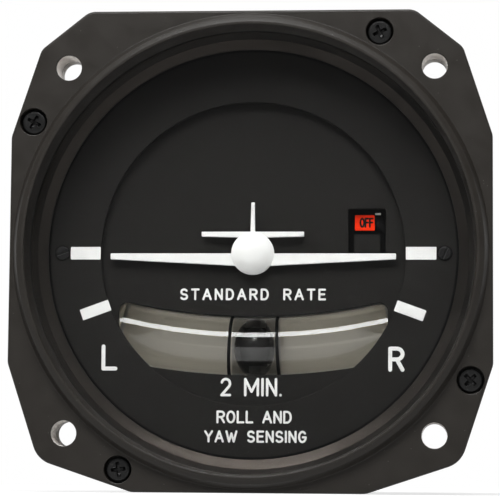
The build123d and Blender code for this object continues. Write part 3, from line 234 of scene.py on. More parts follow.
def inset(loop, distance):
    """The loop moved to its left by a distance, with mitred corners."""
    ahead = np.roll(loop, -1, 0) - loop
    ahead /= np.linalg.norm(ahead, axis=1, keepdims=True)
    behind = np.roll(ahead, 1, 0)
    left = np.stack([-ahead[:, 1] - behind[:, 1], ahead[:, 0] + behind[:, 0]], -1)
    return loop + distance * left / (1 + (ahead * behind).sum(1, keepdims=True))


def edge_steps(front, back, edge, steps=4):
    """Pairs of inset and depth down a wall whose two edges are quarter circles of this radius."""
    turn = np.linspace(0, np.pi / 2, steps)
    near = np.stack([edge * (1 - np.sin(turn)), front + edge * (1 - np.cos(turn))], -1)
    far = np.stack([edge * (1 - np.sin(turn)), back - edge * (1 - np.cos(turn))], -1)[::-1]
    return np.concatenate([near, far])


def wall(loop, stations):
    """A wall that follows a loop of (x, z) points: one row of points for each pair of inset and depth."""
    rows = [np.insert(inset(loop, distance), 1, depth, axis=1) for distance, depth in stations]
    return np.stack(rows)


def bore(profile, steps, centre=(0.0, 0.0)):
    """A round wall turned about an axis along Y: one row of points for each (radius, depth), run clockwise."""
    profile = np.asarray(profile, float)
    turn = -np.linspace(0, 2 * np.pi, steps, endpoint=False)
    x = centre[0] + np.outer(profile[:, 0], np.cos(turn))
    z = centre[1] + np.outer(profile[:, 0], np.sin(turn))
    y = np.repeat(profile[:, 1][:, None], steps, 1)
    return np.stack([x, y, z], -1)


def plate(walls):
    """A solid between walls: the first wall bounds it outside, the rest are its holes.

    The front cap fills the space between the first rows of all the walls, and the back cap that
    between the last rows.
    """
    points, faces, fronts, backs, front_ids, back_ids = [], [], [], [], [], []
    start = 0
    for rows in walls:
        count, around = rows.shape[:2]
        points.append(rows.reshape(-1, 3))
        faces += grid_faces(count, around, False, True, start)
        fronts.append([Vector((x, z, 0)) for x, z in rows[0][:, [0, 2]]])
        backs.append([Vector((x, z, 0)) for x, z in rows[-1][:, [0, 2]]])
        front_ids += range(start, start + around)
        back_ids += range(start + (count - 1) * around, start + count * around)
        start += count * around
    faces += [[front_ids[i] for i in triangle] for triangle in tessellate_polygon(fronts)]
    faces += [[back_ids[i] for i in triangle] for triangle in tessellate_polygon(backs)]
    return np.concatenate(points), faces


def turned(profile, steps, centre=(0.0, 0.0), closed=True):
    """A profile of (radius, depth) turned about an axis along Y, closed on itself or ending on the axis."""
    rows = bore(profile, steps, centre)
    return rows.reshape(-1, 3), grid_faces(rows.shape[0], steps, closed, True)


def sheet(loop, front, thickness, edge):
    """A small flat plate with an outline of (x, z) points and rounded edges."""
    return plate([wall(np.asarray(loop, float), edge_steps(front, front + thickness, edge, 3))])


def bar(centre, length, height, lean, front, thickness, corner=0.12):
    """A painted bar: a rectangle with small round corners, leaned by an angle, on a surface."""
    corners = np.array([(-1, -1), (1, -1), (1, 1), (-1, 1)]) * (length / 2, height / 2)
    a = math.radians(lean)
    turn = np.array([[math.cos(a), math.sin(a)], [-math.sin(a), math.cos(a)]])
    loop = rounded(corners, corner, 4) @ turn + np.asarray(centre)
    return sheet(loop, front - thickness, thickness * 1.2, thickness * 0.4)


def along_arc(radius, first, last, steps, around, y=TUBE_Y, squash=1.0):
    """A rod bent along the tube's arc.

    The path is a circle of the arc's radius about a centre straight above the tube's middle, and a
    circle of the given radius is carried along it between two angles from the vertical.
    """
    lean = np.radians(np.linspace(first, last, steps))[:, None]
    turn = np.linspace(0, 2 * np.pi, around, endpoint=False)[None, :]
    reach = TUBE_ARC + radius * np.cos(turn)
    x = reach * np.sin(lean)
    z = TUBE_Z + TUBE_ARC - reach * np.cos(lean)
    depth = y + radius * squash * np.sin(turn) + 0 * lean
    return np.stack([x, depth, z], -1)


def trough(inner, outer, first, last, steps, around):
    """The rear half of a sleeve round the bent tube, closed at its ends and along its edges."""
    turn = np.radians(np.linspace(-2, 182, around))
    lean = np.radians(np.linspace(first, last, steps))[:, None]
    radius = np.repeat([outer, inner], around)
    angle = np.concatenate([turn, turn[::-1]])
    reach = TUBE_ARC + radius * np.cos(angle)
    depth = TUBE_Y + radius * np.sin(angle) + 0 * lean
    rows = np.stack([reach * np.sin(lean), depth, TUBE_Z + TUBE_ARC - reach * np.cos(lean)], -1)
    faces = grid_faces(steps, 2 * around, False, True)
    for start in (0, (steps - 1) * 2 * around):
        faces += [[start + i, start + i + 1, start + 2 * around - 2 - i, start + 2 * around - 1 - i] for i in range(around - 1)]
    return rows.reshape(-1, 3), faces


def closed_rod(rows):
    """A rod of rows of points, with both ends closed by fans about their middles."""
    first, last = rows[0].mean(0), rows[-1].mean(0)
    ends = [np.repeat(first[None], rows.shape[1], 0), np.repeat(last[None], rows.shape[1], 0)]
    rows = np.concatenate([ends[0][None], rows, ends[1][None]])
    return rows.reshape(-1, 3), grid_faces(rows.shape[0], rows.shape[1], False, True)


def ball_surface(radius, centre, rows=64, around=96):
    """A sphere: height and ring radius follow the cosine and the sine of the angle from its front pole."""
    polar = np.linspace(0, np.pi, rows)
    profile = np.stack([radius * np.sin(polar), centre[1] - radius * np.cos(polar)], -1)
    return turned(profile, around, (centre[0], centre[2]), closed=False)


def screw_head(centre, radius, face, height, drive, width, depth, turn, way=1, cross=True):
    """A screw head with a driver recess.

    The face is a height field on a polar grid: a flat crown that rounds over at the rim, less a recess
    whose arms keep their width and grow shallower towards their tips. Way is 1 for a head that faces
    the front and -1 for one that faces the back.
    """
    rim = 0.22 * radius
    turn_r = np.linspace(0, np.pi / 2, 7)[1:]
    r = np.concatenate([np.linspace(0, radius - rim, 36), radius - rim + rim * np.sin(turn_r)])
    drop = np.concatenate([np.zeros(36), rim * 0.6 * (1 - np.cos(turn_r))])
    angle = np.linspace(0, 2 * np.pi, 120, endpoint=False)
    x, z = np.outer(r, np.cos(angle)), np.outer(r, np.sin(angle))
    a = math.radians(turn)
    along, across = x * math.cos(a) + z * math.sin(a), z * math.cos(a) - x * math.sin(a)
    cut = np.zeros_like(x)
    arms = [(along, across), (across, along)] if cross else [(along, across)]
    for run, side in arms:
        body = np.clip((width / 2 - np.abs(side)) / (0.16 * width) + 0.5, 0, 1)
        tip = np.clip(1 - (np.abs(run) / (drive / 2)) ** 4, 0, 1)
        cut = np.maximum(cut, depth * body * (tip if cross else np.ones_like(tip)))
    y = face + way * (np.repeat(drop[:, None], 120, 1) + cut)
    top = np.stack([centre[0] + x, y, centre[1] + z], -1)
    base = top[-1].copy()
    base[:, 1] = face + way * height
    foot = base.copy()
    foot[:, 0], foot[:, 2] = centre[0], centre[1]
    rows = np.concatenate([top, base[None], foot[None]])
    return rows.reshape(-1, 3), grid_faces(rows.shape[0], 120, False, True)


def ribbon(path, width, front, thickness):
    """A painted stroke: a flat-topped profile carried along a path of (x, z) points.

    At an open end its half width falls as a half circle does, which rounds the end. At a corner the
    profile is widened by the mitre, up to a limit.
    """
    path = np.asarray(path, float)
    closed = bool(np.allclose(path[0], path[-1]) and len(path) > 3)
    if closed:
        path = path[:-1]
        ahead = np.roll(path, -1, 0) - path
        ahead /= np.linalg.norm(ahead, axis=1, keepdims=True)
        behind = np.roll(ahead, 1, 0)
    else:
        run = np.diff(path, axis=0)
        run /= np.linalg.norm(run, axis=1, keepdims=True)
        ahead, behind = np.vstack([run, run[-1:]]), np.vstack([run[:1], run])
    side = np.stack([-ahead[:, 1] - behind[:, 1], ahead[:, 0] + behind[:, 0]], -1)
    side = side / np.maximum(1 + (ahead * behind).sum(1, keepdims=True), 0.55)
    half = np.full(len(path), width / 2)
    if not closed:
        turn = np.radians([90, 70, 48, 24])
        first = path[0] - ahead[0] * (width / 2) * np.sin(turn)[:, None]
        last = (path[-1] + behind[-1] * (width / 2) * np.sin(turn)[:, None])[::-1]
        path = np.vstack([first, path, last])
        side = np.vstack([np.repeat(side[:1], 4, 0), side, np.repeat(side[-1:], 4, 0)])
        half = np.concatenate([width / 2 * np.cos(turn), half, (width / 2 * np.cos(turn))[::-1]])
    across = np.array([-1, -1, -0.86, 0.86, 1, 1])
    rise = np.array([0, 0.65, 1, 1, 0.65, 0])
    spot = path[:, None] + side[:, None] * (half[:, None] * across)[..., None]
    depth = front + 0.2 * thickness - 1.2 * thickness * np.repeat(rise[None], len(path), 0)
    rows = np.stack([spot[..., 0], depth, spot[..., 1]], -1)
    return rows.reshape(-1, 3), grid_faces(len(path), 6, closed, True)


def bow(cx, cz, rx, rz, first, last, steps=16):
    """Points on an ellipse from one angle to another, for the round strokes of a letter."""
    turn = np.radians(np.linspace(first, last, steps))
    return list(zip(cx + rx * np.cos(turn), cz + rz * np.sin(turn)))


# Narrow engraver's letters on a cap height of one: width, then the strokes as paths of (x, z) points
LETTERS = {
    "A": (0.66, [[(0, 0), (0.33, 1), (0.66, 0)], [(0.12, 0.33), (0.54, 0.33)]]),
    "D": (0.56, [[(0, 0), (0, 1), *bow(0.24, 0.5, 0.32, 0.5, 90, -90), (0, 0)]]),
    "E": (0.5, [[(0.5, 1), (0, 1), (0, 0), (0.5, 0)], [(0, 0.52), (0.43, 0.52)]]),
    "F": (0.48, [[(0.48, 1), (0, 1), (0, 0)], [(0, 0.52), (0.41, 0.52)]]),
    "G": (0.6, [[*bow(0.3, 0.5, 0.3, 0.5, 42, 335, 28), (0.59, 0.46), (0.34, 0.46)]]),
    "I": (0.0, [[(0, 0), (0, 1)]]),
    "L": (0.48, [[(0, 1), (0, 0), (0.48, 0)]]),
    "M": (0.79, [[(0, 0), (0, 1), (0.395, 0.22), (0.79, 1), (0.79, 0)]]),
    "N": (0.55, [[(0, 0), (0, 1), (0.55, 0), (0.55, 1)]]),
    "O": (0.6, [bow(0.3, 0.5, 0.3, 0.5, 90, 450, 37)]),
    "R": (0.56, [[(0, 0), (0, 1), *bow(0.3, 0.745, 0.26, 0.255, 90, -90), (0, 0.49)], [(0.3, 0.49), (0.56, 0)]]),
    "S": (0.54, [[*bow(0.27, 0.745, 0.25, 0.255, 28, 262), *bow(0.27, 0.245, 0.27, 0.245, 82, -152)]]),
    "T": (0.58, [[(0, 1), (0.58, 1)], [(0.29, 1), (0.29, 0)]]),
    "W": (0.9, [[(0, 1), (0.24, 0), (0.45, 0.8), (0.66, 0), (0.9, 1)]]),
    "Y": (0.62, [[(0, 1), (0.31, 0.46), (0.62, 1)], [(0.31, 0.46), (0.31, 0)]]),
    "2": (0.52, [[*bow(0.26, 0.72, 0.26, 0.28, 165, -38), (0, 0), (0.52, 0)]]),
    ".": (0.0, [[(0, 0), (0, 0.012)]]),
}
WORD_GAP = 3.3  # in gaps between letters


def split_at_corners(path, sharpest=50.0):
    """Parts of a path between its sharp corners, so that each part can have round ends."""
    path = np.asarray(path, float)
    run = np.diff(path, axis=0)
    run /= np.linalg.norm(run, axis=1, keepdims=True)
    turn = np.degrees(np.arccos(np.clip((run[1:] * run[:-1]).sum(1), -1, 1)))
    cuts = [0, *(np.nonzero(turn > sharpest)[0] + 1), len(path) - 1]
    return [path[first:last + 1] for first, last in zip(cuts, cuts[1:])]


def lettering(words, left, right, foot, top, stroke, front, thickness, spread=1.0):
    """Words in strokes that fill a box from left to right and from foot to top.

    Letters keep their own width times the spread, and the gaps take up what is left. Strokes that
    cross lie a little above each other, so that no two faces share a plane.
    """
    tall, room = top - foot - stroke, right - left - stroke
    widths = [LETTERS[letter][0] for letter in words if letter != " "]
    blanks = words.count(" ")
    gaps = len(widths) - 1 - blanks + WORD_GAP * blanks
    wide = tall * spread if gaps else room / widths[0]
    gap = (room - sum(widths) * wide) / gaps if gaps else 0.0
    parts = []
    pen = left + stroke / 2
    for letter in words:
        if letter == " ":
            pen += (WORD_GAP - 1) * gap
            continue
        width, strokes = LETTERS[letter]
        paths = [part for path in strokes for part in split_at_corners(np.asarray(path) * (wide, tall))]
        parts += [ribbon(part + (pen, foot + stroke / 2), stroke, front - 0.04 * k * thickness, thickness)
                  for k, part in enumerate(paths)]
        pen += width * wide + gap
    return parts


def make_piece(name, parts, body, slot, material=None, replaced=(), angle=34):
    """Joins parts given as (points in millimetres, faces) into one piece that rides on a body.

    Points that coincide are merged, faces are turned outwards, and edges sharper than the angle and
    the borders of flat caps stay crisp.
    """
    mesh = bpy.data.meshes.new(name)
    points, faces, start = [], [], 0
    for spots, sides in parts:
        points.append(np.asarray(spots, float) * MM)
        faces += [[i + start for i in side] for side in sides]
        start += len(spots)
    mesh.from_pydata(np.concatenate(points).tolist(), [], faces)
    work = bmesh.new()
    work.from_mesh(mesh)
    bmesh.ops.remove_doubles(work, verts=work.verts, dist=1e-7)
    bmesh.ops.recalc_face_normals(work, faces=work.faces)
    work.to_mesh(mesh)
    work.free()
    mesh.shade_smooth()
    mesh.set_sharp_from_angle(angle=math.radians(angle))
    normals = np.zeros(len(mesh.polygons) * 3)
    mesh.polygons.foreach_get("normal", normals)
    mesh.polygons.foreach_set("use_smooth", np.abs(normals.reshape(-1, 3)[:, 1]) < 0.99999)
    obj = bpy.data.objects.new(name, mesh)
    bpy.context.scene.collection.objects.link(obj)
    obj.data.materials.append(bpy.data.materials[material or slot])
    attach(obj, body)
    if replaced:
        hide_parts(*replaced)
    return obj


def polar(radius, angle):
    """The (x, z) point at a radius and an angle in degrees."""
    return np.array([radius * math.cos(math.radians(angle)), radius * math.sin(math.radians(angle))])


def flange_outline():
    """The flange's outline: plain lower corners, and upper corners with two facets each."""
    h = FLANGE
    right = [(h - 21.5, -h), (h - 5.4, 5.4 - h), (h, 21.8 - h), (h, h - 21.8), (h - 5.0, h - 6.6), (h - 13.3, h)]
    rounds = [3.0, 4.5, 3.0, 3.0, 2.5, 3.0]
    left = [(-x, z) for x, z in reversed(right)]
    return rounded(right + left, rounds + rounds[::-1], 9)


MOUNTS = [polar(MOUNT_CIRCLE, 45 + 90 * k) for k in range(4)]
CASE_SCREWS = [polar(SCREW_CIRCLE, SCREW_TURN + 90 * k) for k in range(4)]


# Node groups that several finishes share


def new_group(name, inputs, outputs):
    """An empty shader node group with named sockets; each is (name, kind, default)."""
    group = bpy.data.node_groups.new(name, "ShaderNodeTree")
    for label, kind, default in inputs:
        socket = group.interface.new_socket(name=label, in_out="INPUT", socket_type=kind)
        if default is not None:
            socket.default_value = default
    for label, kind in outputs:
        group.interface.new_socket(name=label, in_out="OUTPUT", socket_type=kind)
    return group, group.nodes.new("NodeGroupInput"), group.nodes.new("NodeGroupOutput")


def add(tree, kind, values=(), **settings_of):
    """Adds a node, sets its options by name and its input sockets by (socket, value)."""
    node = tree.nodes.new(kind)
    for key, value in settings_of.items():
        setattr(node, key, value)
    for socket, value in values:
        if isinstance(value, bpy.types.NodeSocket):
            tree.links.new(value, node.inputs[socket])
        else:
            node.inputs[socket].default_value = value
    return node


def grain_group():
    """Fine grain and slow cloudiness: two noises, the second twenty times coarser than the first."""
    group, inside, out = new_group(
        "Surface grain",
        [("Vector", "NodeSocketVector", None), ("Scale", "NodeSocketFloat", 3000.0)],
        [("Height", "NodeSocketFloat"), ("Cloud", "NodeSocketFloat")])
    fine = add(group, "ShaderNodeTexNoise", [
        ("Vector", inside.outputs["Vector"]), ("Scale", inside.outputs["Scale"]), ("Detail", 5.0), ("Roughness", 0.62)])
    slow = add(group, "ShaderNodeMath", [(0, inside.outputs["Scale"]), (1, 0.05)], operation="MULTIPLY")
    cloud = add(group, "ShaderNodeTexNoise", [
        ("Vector", inside.outputs["Vector"]), ("Scale", slow.outputs[0]), ("Detail", 3.0)])
    group.links.new(fine.outputs["Fac"], out.inputs["Height"])
    group.links.new(cloud.outputs["Fac"], out.inputs["Cloud"])
    return group


def speck_group():
    """Scattered specks of dust or small chips: the middles of Voronoi cells, kept where a noise is high."""
    group, inside, out = new_group(
        "Scattered specks",
        [("Vector", "NodeSocketVector", None), ("Scale", "NodeSocketFloat", 900.0), ("Size", "NodeSocketFloat", 0.12)],
        [("Mask", "NodeSocketFloat")])
    cells = add(group, "ShaderNodeTexVoronoi", [("Vector", inside.outputs["Vector"]), ("Scale", inside.outputs["Scale"])])
    near = add(group, "ShaderNodeMath", [(0, cells.outputs["Distance"]), (1, inside.outputs["Size"])], operation="LESS_THAN")
    few = add(group, "ShaderNodeSeparateColor", [(0, cells.outputs["Color"])])
    rare = add(group, "ShaderNodeMath", [(0, few.outputs[0]), (1, 0.93)], operation="GREATER_THAN")
    mask = add(group, "ShaderNodeMath", [(0, near.outputs[0]), (1, rare.outputs[0])], operation="MULTIPLY")
    group.links.new(mask.outputs[0], out.inputs["Mask"])
    return group


def turning_group():
    """Turning marks: a noise read only along the distance from an axis parallel to Y, so it makes rings."""
    group, inside, out = new_group(
        "Turning marks",
        [("Vector", "NodeSocketVector", None), ("Scale", "NodeSocketFloat", 4000.0)],
        [("Height", "NodeSocketFloat")])
    parts = add(group, "ShaderNodeSeparateXYZ", [(0, inside.outputs["Vector"])])
    flat = add(group, "ShaderNodeCombineXYZ", [(0, parts.outputs[0]), (1, parts.outputs[2])])
    radius = add(group, "ShaderNodeVectorMath", [(0, flat.outputs[0])], operation="LENGTH")
    line = add(group, "ShaderNodeCombineXYZ", [(0, radius.outputs["Value"]), (1, parts.outputs[1])])
    noise = add(group, "ShaderNodeTexNoise", [("Vector", line.outputs[0]), ("Scale", inside.outputs["Scale"]), ("Detail", 2.0)])
    group.links.new(noise.outputs["Fac"], out.inputs["Height"])
    return group


def fresh_material(name):
    """A material with an empty node tree, its output and the Object coordinates."""
    material = bpy.data.materials.new(name)
    material.use_nodes = True
    tree = material.node_tree
    tree.nodes.clear()
    out = tree.nodes.new("ShaderNodeOutputMaterial")
    place = tree.nodes.new("ShaderNodeTexCoord")
    return tree, out, place.outputs["Object"]


def coated(name, colour, rough, grain=3000.0, bump=0.12, metallic=0.0, cloud=0.25, specks=0.0, turning=0.0,
           specular=0.5, coat=0.0):
    """A paint, plastic or metal finish: grain in the bump, clouds in colour and roughness, specks, turning marks."""
    tree, out, place = fresh_material(name)
    texture = add(tree, "ShaderNodeGroup", node_tree=bpy.data.node_groups["Surface grain"])
    tree.links.new(place, texture.inputs["Vector"])
    texture.inputs["Scale"].default_value = grain
    dark = tuple(c * (1 - cloud) for c in colour) + (1.0,)
    light = tuple(min(1.0, c * (1 + cloud)) for c in colour) + (1.0,)
    tint = add(tree, "ShaderNodeMix", [(0, texture.outputs["Cloud"]), (6, dark), (7, light)], data_type="RGBA")
    shade = tint.outputs[2]
    if specks:
        dots = add(tree, "ShaderNodeGroup", node_tree=bpy.data.node_groups["Scattered specks"])
        tree.links.new(place, dots.inputs["Vector"])
        dots.inputs["Scale"].default_value = grain * 0.3
        part = add(tree, "ShaderNodeMath", [(0, dots.outputs["Mask"]), (1, specks)], operation="MULTIPLY")
        pale = tuple(min(1.0, c * 2.0 + 0.12) for c in colour) + (1.0,)
        over = add(tree, "ShaderNodeMix", [(0, part.outputs[0]), (6, shade), (7, pale)], data_type="RGBA")
        shade = over.outputs[2]
    spread = add(tree, "ShaderNodeMapRange", [
        ("Value", texture.outputs["Cloud"]), ("From Min", 0.3), ("From Max", 0.7),
        ("To Min", max(0.03, rough - 0.07)), ("To Max", min(1.0, rough + 0.07))])
    height = texture.outputs["Height"]
    if turning:
        rings = add(tree, "ShaderNodeGroup", node_tree=bpy.data.node_groups["Turning marks"])
        tree.links.new(place, rings.inputs["Vector"])
        rings.inputs["Scale"].default_value = turning
        both = add(tree, "ShaderNodeMath", [(0, height), (1, rings.outputs["Height"])], operation="ADD")
        height = both.outputs[0]
    relief = add(tree, "ShaderNodeBump", [("Strength", bump), ("Distance", 0.0001), ("Height", height)])
    shader = add(tree, "ShaderNodeBsdfPrincipled", [
        ("Base Color", shade), ("Roughness", spread.outputs[0]), ("Metallic", metallic),
        ("Normal", relief.outputs[0]), ("Specular IOR Level", specular), ("Coat Weight", coat)])
    tree.links.new(shader.outputs[0], out.inputs["Surface"])
    return shader


def clear(name, tint, ior, rough=0.0, coat=0.0):
    """Clear glass that lets lamps light what lies behind it: it is transparent to shadow rays."""
    tree, out, place = fresh_material(name)
    texture = add(tree, "ShaderNodeGroup", node_tree=bpy.data.node_groups["Surface grain"])
    tree.links.new(place, texture.inputs["Vector"])
    texture.inputs["Scale"].default_value = 260.0
    smear = add(tree, "ShaderNodeMapRange", [
        ("Value", texture.outputs["Cloud"]), ("From Min", 0.35), ("From Max", 0.75),
        ("To Min", rough), ("To Max", rough + 0.02)])
    shader = add(tree, "ShaderNodeBsdfPrincipled", [
        ("Base Color", (*tint, 1.0)), ("Roughness", smear.outputs[0]), ("IOR", ior), ("Transmission Weight", 1.0),
        ("Coat Weight", coat), ("Coat IOR", 1.7), ("Coat Roughness", 0.02)])
    through = add(tree, "ShaderNodeBsdfTransparent", [(0, (*tint, 1.0))])
    path = tree.nodes.new("ShaderNodeLightPath")
    mix = add(tree, "ShaderNodeMixShader", [(0, path.outputs["Is Shadow Ray"]), (1, shader.outputs[0]), (2, through.outputs[0])])
    tree.links.new(mix.outputs[0], out.inputs["Surface"])
    return shader


def backing_finish(name, colour):
    """The tube's backing: matt paint, with painted light that lightens it towards its top and painted shade that
    darkens it between the two lines.
    """
    tree, out, place = fresh_material(name)
    texture = add(tree, "ShaderNodeGroup", node_tree=bpy.data.node_groups["Surface grain"])
    tree.links.new(place, texture.inputs["Vector"])
    texture.inputs["Scale"].default_value = 2500.0
    parts = add(tree, "ShaderNodeSeparateXYZ", [(0, place)])
    # Painted light: lighter towards the top of the tube, standing in for light where the window's upper edge shades it.
    rise = add(tree, "ShaderNodeMapRange", [
        ("Value", parts.outputs[2]), ("From Min", -0.021), ("From Max", -0.010), ("To Min", 0.0), ("To Max", 1.0)])
    low = tuple(c * 0.86 for c in colour) + (1.0,)
    high = tuple(c * 1.16 for c in colour) + (1.0,)
    tint = add(tree, "ShaderNodeMix", [(0, rise.outputs[0]), (6, low), (7, high)], data_type="RGBA")
    # Painted shade: darker between the two lines across the tube, round the ball.
    aside = add(tree, "ShaderNodeMath", [(0, parts.outputs[0])], operation="ABSOLUTE")
    middle = add(tree, "ShaderNodeMapRange", [
        ("Value", aside.outputs[0]), ("From Min", 0.0041), ("From Max", 0.0044), ("To Min", 0.5), ("To Max", 1.0)])
    level = add(tree, "ShaderNodeCombineXYZ", [(k, middle.outputs[0]) for k in range(3)])
    tint = add(tree, "ShaderNodeMix", [(0, 1.0), (6, tint.outputs[2]), (7, level.outputs[0])], data_type="RGBA", blend_type="MULTIPLY")
    relief = add(tree, "ShaderNodeBump", [("Strength", 0.1), ("Distance", 0.0001), ("Height", texture.outputs["Height"])])
    shader = add(tree, "ShaderNodeBsdfPrincipled", [
        ("Base Color", tint.outputs[2]), ("Roughness", 0.7), ("Normal", relief.outputs[0])])
    tree.links.new(shader.outputs[0], out.inputs["Surface"])


class COORDINATOR_OT_finishes(bpy.types.Operator):
    """Makes every finish and gives each CAD node the one that its material slot names."""
    bl_idname = "turn_coordinator.finishes"
    bl_label = "Finishes"

    def execute(self, context):
        finish, _, _ = settings()
        for packed in list(bpy.data.materials):
            bpy.data.materials.remove(packed)
        grain_group()
        speck_group()
        turning_group()
        coated("black_enamel", finish.enamel, 0.44, 5200.0, 0.26, cloud=0.16, specks=0.5, specular=0.3)
        coated("case_paint", finish.case, 0.45, 4200.0, 0.18, cloud=0.14, specks=0.25)
        coated("rubber", (0.018, 0.018, 0.018), 0.82, 6000.0, 0.3)
        clear("glass", (0.995, 1.0, 0.998), 1.5)
        clear("tube_glass", (0.985, 0.985, 0.965), 1.45, coat=0.6)
        spacer = coated("spacer_black", (0.0085, 0.008, 0.0072), 0.36, 4000.0, 0.1, turning=5000.0, cloud=0.1,
                        specular=0.37)
        spacer.inputs["Specular Tint"].default_value = (1.0, 0.85, 0.75, 1.0)
        coated("dial_black", finish.dial, 0.7, 6500.0, 0.14, cloud=0.08, specks=0.2, specular=0.12)
        coated("black_steel", (0.009, 0.009, 0.009), 0.36, 7000.0, 0.16, specular=0.36)
        coated("bright_steel", (0.62, 0.62, 0.6), 0.26, 5000.0, 0.12, metallic=1.0, turning=6000.0, cloud=0.1)
        coated("bearing_steel", (0.7, 0.7, 0.69), 0.16, 5000.0, 0.05, metallic=1.0, cloud=0.06)
        coated("chassis_aluminium", (0.72, 0.72, 0.7), 0.36, 3500.0, 0.16, metallic=1.0, turning=4000.0, cloud=0.12)
        coated("bare_bore", (0.9, 0.86, 0.82), 0.4, 6000.0, 0.2, cloud=0.12)
        coated("gear_brass", (0.68, 0.5, 0.22), 0.3, 4500.0, 0.12, metallic=1.0, turning=5200.0, cloud=0.12)
        coated("magnet_steel", (0.3, 0.3, 0.31), 0.45, 4200.0, 0.2, metallic=1.0, cloud=0.2)
        coated("pointer_white", finish.white, 0.5, 6500.0, 0.12, cloud=0.03)
        coated("ink_white", finish.white, 0.62, 9000.0, 0.2, cloud=0.05)
        coated("flag_black", (0.003, 0.003, 0.003), 0.85, 6000.0, 0.1, specular=0.05)
        coated("flag_orange", finish.flag, 0.65, 7000.0, 0.16, cloud=0.06, specular=0.05)
        coated("ball_black", (0.016, 0.0155, 0.015), 0.24, 4000.0, 0.0, cloud=0.1, specular=0.4)
        backing_finish("tube_back", finish.backing)
        coated("line_black", (0.008, 0.008, 0.008), 0.8, 6000.0, 0.12, specular=0.1)
        coated("board_green", (0.04, 0.17, 0.08), 0.42, 2500.0, 0.16, cloud=0.3, turning=1500.0)
        coated("component_dark", (0.05, 0.05, 0.06), 0.5, 4000.0, 0.15, cloud=0.2)
        coated("connector_metal", (0.42, 0.42, 0.34), 0.36, 4800.0, 0.16, metallic=1.0, cloud=0.2)
        coated("insert_black", (0.035, 0.035, 0.036), 0.55, 5200.0, 0.14)
        coated("pin_gold", (0.8, 0.6, 0.24), 0.22, 6000.0, 0.08, metallic=1.0, cloud=0.1)
        for part in frame["record"]["subparts"]:
            materials = frame["nodes"][part["node"]].data.materials
            materials.clear()
            materials.append(bpy.data.materials[part["material_slot"]])
        frame["nodes"]["tube_plugs"].data.materials[0] = bpy.data.materials["tube_back"]
        return {"FINISHED"}


class COORDINATOR_OT_bezel(bpy.types.Operator):
    """Makes the bezel with its raised ring and holes, the bare bores and the four case screws."""
    bl_idname = "turn_coordinator.bezel"
    bl_label = "Bezel and screws"

    def execute(self, context):
        _, face, _ = settings()
        steps = face.turn_steps
        outer = wall(flange_outline(), edge_steps(0, BEZEL_BACK, face.edge / MM, 5))
        crest = rounded(
            [(LIP_R, 2.6), (MOUTH_R, RING_FRONT), (39.0, RING_FRONT), (39.85, RING_FRONT * 0.76),
             (40.62, 0.0), (RING_FOOT_R + 4, 0.0), (RING_FOOT_R + 4, 4.0)],
            [0.001, 0.25, 0.3, 0.6, 0.22, 0.001, 0.001], 6)
        ring = crest[6 * 1:6 * 5][::-1]
        mouth = bore(np.vstack([ring, [(LIP_R, 2.6), (GLASS_R + 0.05, 2.6), (GLASS_R + 0.05, BEZEL_BACK)]]), steps)
        rim = 0.12
        holes = [bore([(MOUNT_R + rim, 0), (MOUNT_R + rim / 3, rim / 3), (MOUNT_R, rim), (MOUNT_R, BEZEL_BACK)], 64, spot)
                 for spot in MOUNTS]
        seats = [bore([(2.35 + rim, 0), (2.35 + rim / 3, rim / 3), (2.35, rim), (2.35, 2.4), (1.25, 2.4), (1.25, BEZEL_BACK)],
                      64, spot) for spot in CASE_SCREWS]
        make_piece("bezel_body", [plate([outer, mouth, *holes, *seats])], "case", "black_enamel", replaced=["bezel"])
        sleeves = []
        for spot in MOUNTS:
            for first, last in ((0.35, BEZEL_BACK - 0.02), (CASE_FRONT + 0.02, CASE_FRONT + FLANGE_T - 0.1)):
                profile = [(MOUNT_R - 0.04, first), (MOUNT_R - 0.04, last), (MOUNT_R + 0.02, last), (MOUNT_R + 0.02, first)]
                sleeves.append(turned(profile, 64, spot))
        make_piece("mounting_bores", sleeves, "case", "chassis_aluminium", "bare_bore")
        screws = []
        for number, spot in enumerate(CASE_SCREWS):
            screws.append(screw_head(spot, 2.05, 0.7, 1.7, 2.5, 0.52, 0.85, 24 + 37 * number))
            screws.append(turned([(0, 2.3), (1.2, 2.3), (1.2, 8.8), (0, 8.8)], 32, spot, closed=False))
        make_piece("bezel_screws", screws, "case", "black_steel", replaced=["case_screws"])
        return {"FINISHED"}


class COORDINATOR_OT_glass(bpy.types.Operator):
    """Makes the front glass and the bevelled spacer behind it."""
    bl_idname = "turn_coordinator.glass"
    bl_label = "Glass and spacer"

    def execute(self, context):
        _, face, _ = settings()
        steps = face.turn_steps
        rim = rounded([(0, GLASS_FRONT), (GLASS_R, GLASS_FRONT), (GLASS_R, GLASS_BACK), (0, GLASS_BACK)],
                      [0.001, 0.2, 0.2, 0.001], 4)
        profile = np.vstack([[(0, GLASS_FRONT)], rim[4:12], [(0, GLASS_BACK)]])
        make_piece("cover_glass", [turned(profile, steps, closed=False)], "case", "glass", replaced=["front_glass"])
        foot = 35.62
        section = rounded(
            [(SPACER_R, GLASS_BACK), (SPACER_R, MASK_FRONT), (foot, MASK_FRONT), (foot, MASK_FRONT - 0.25),
             (BORE_R - 0.4, MASK_FRONT - 1.2), (LIP_R, GLASS_BACK)],
            [0.1, 0.1, 0.05, 0.06, 0.3, 0.1], 5)
        make_piece("spacer_ring", [turned(section, steps)], "case", "spacer_black", replaced=["glass_spacer"])
        return {"FINISHED"}


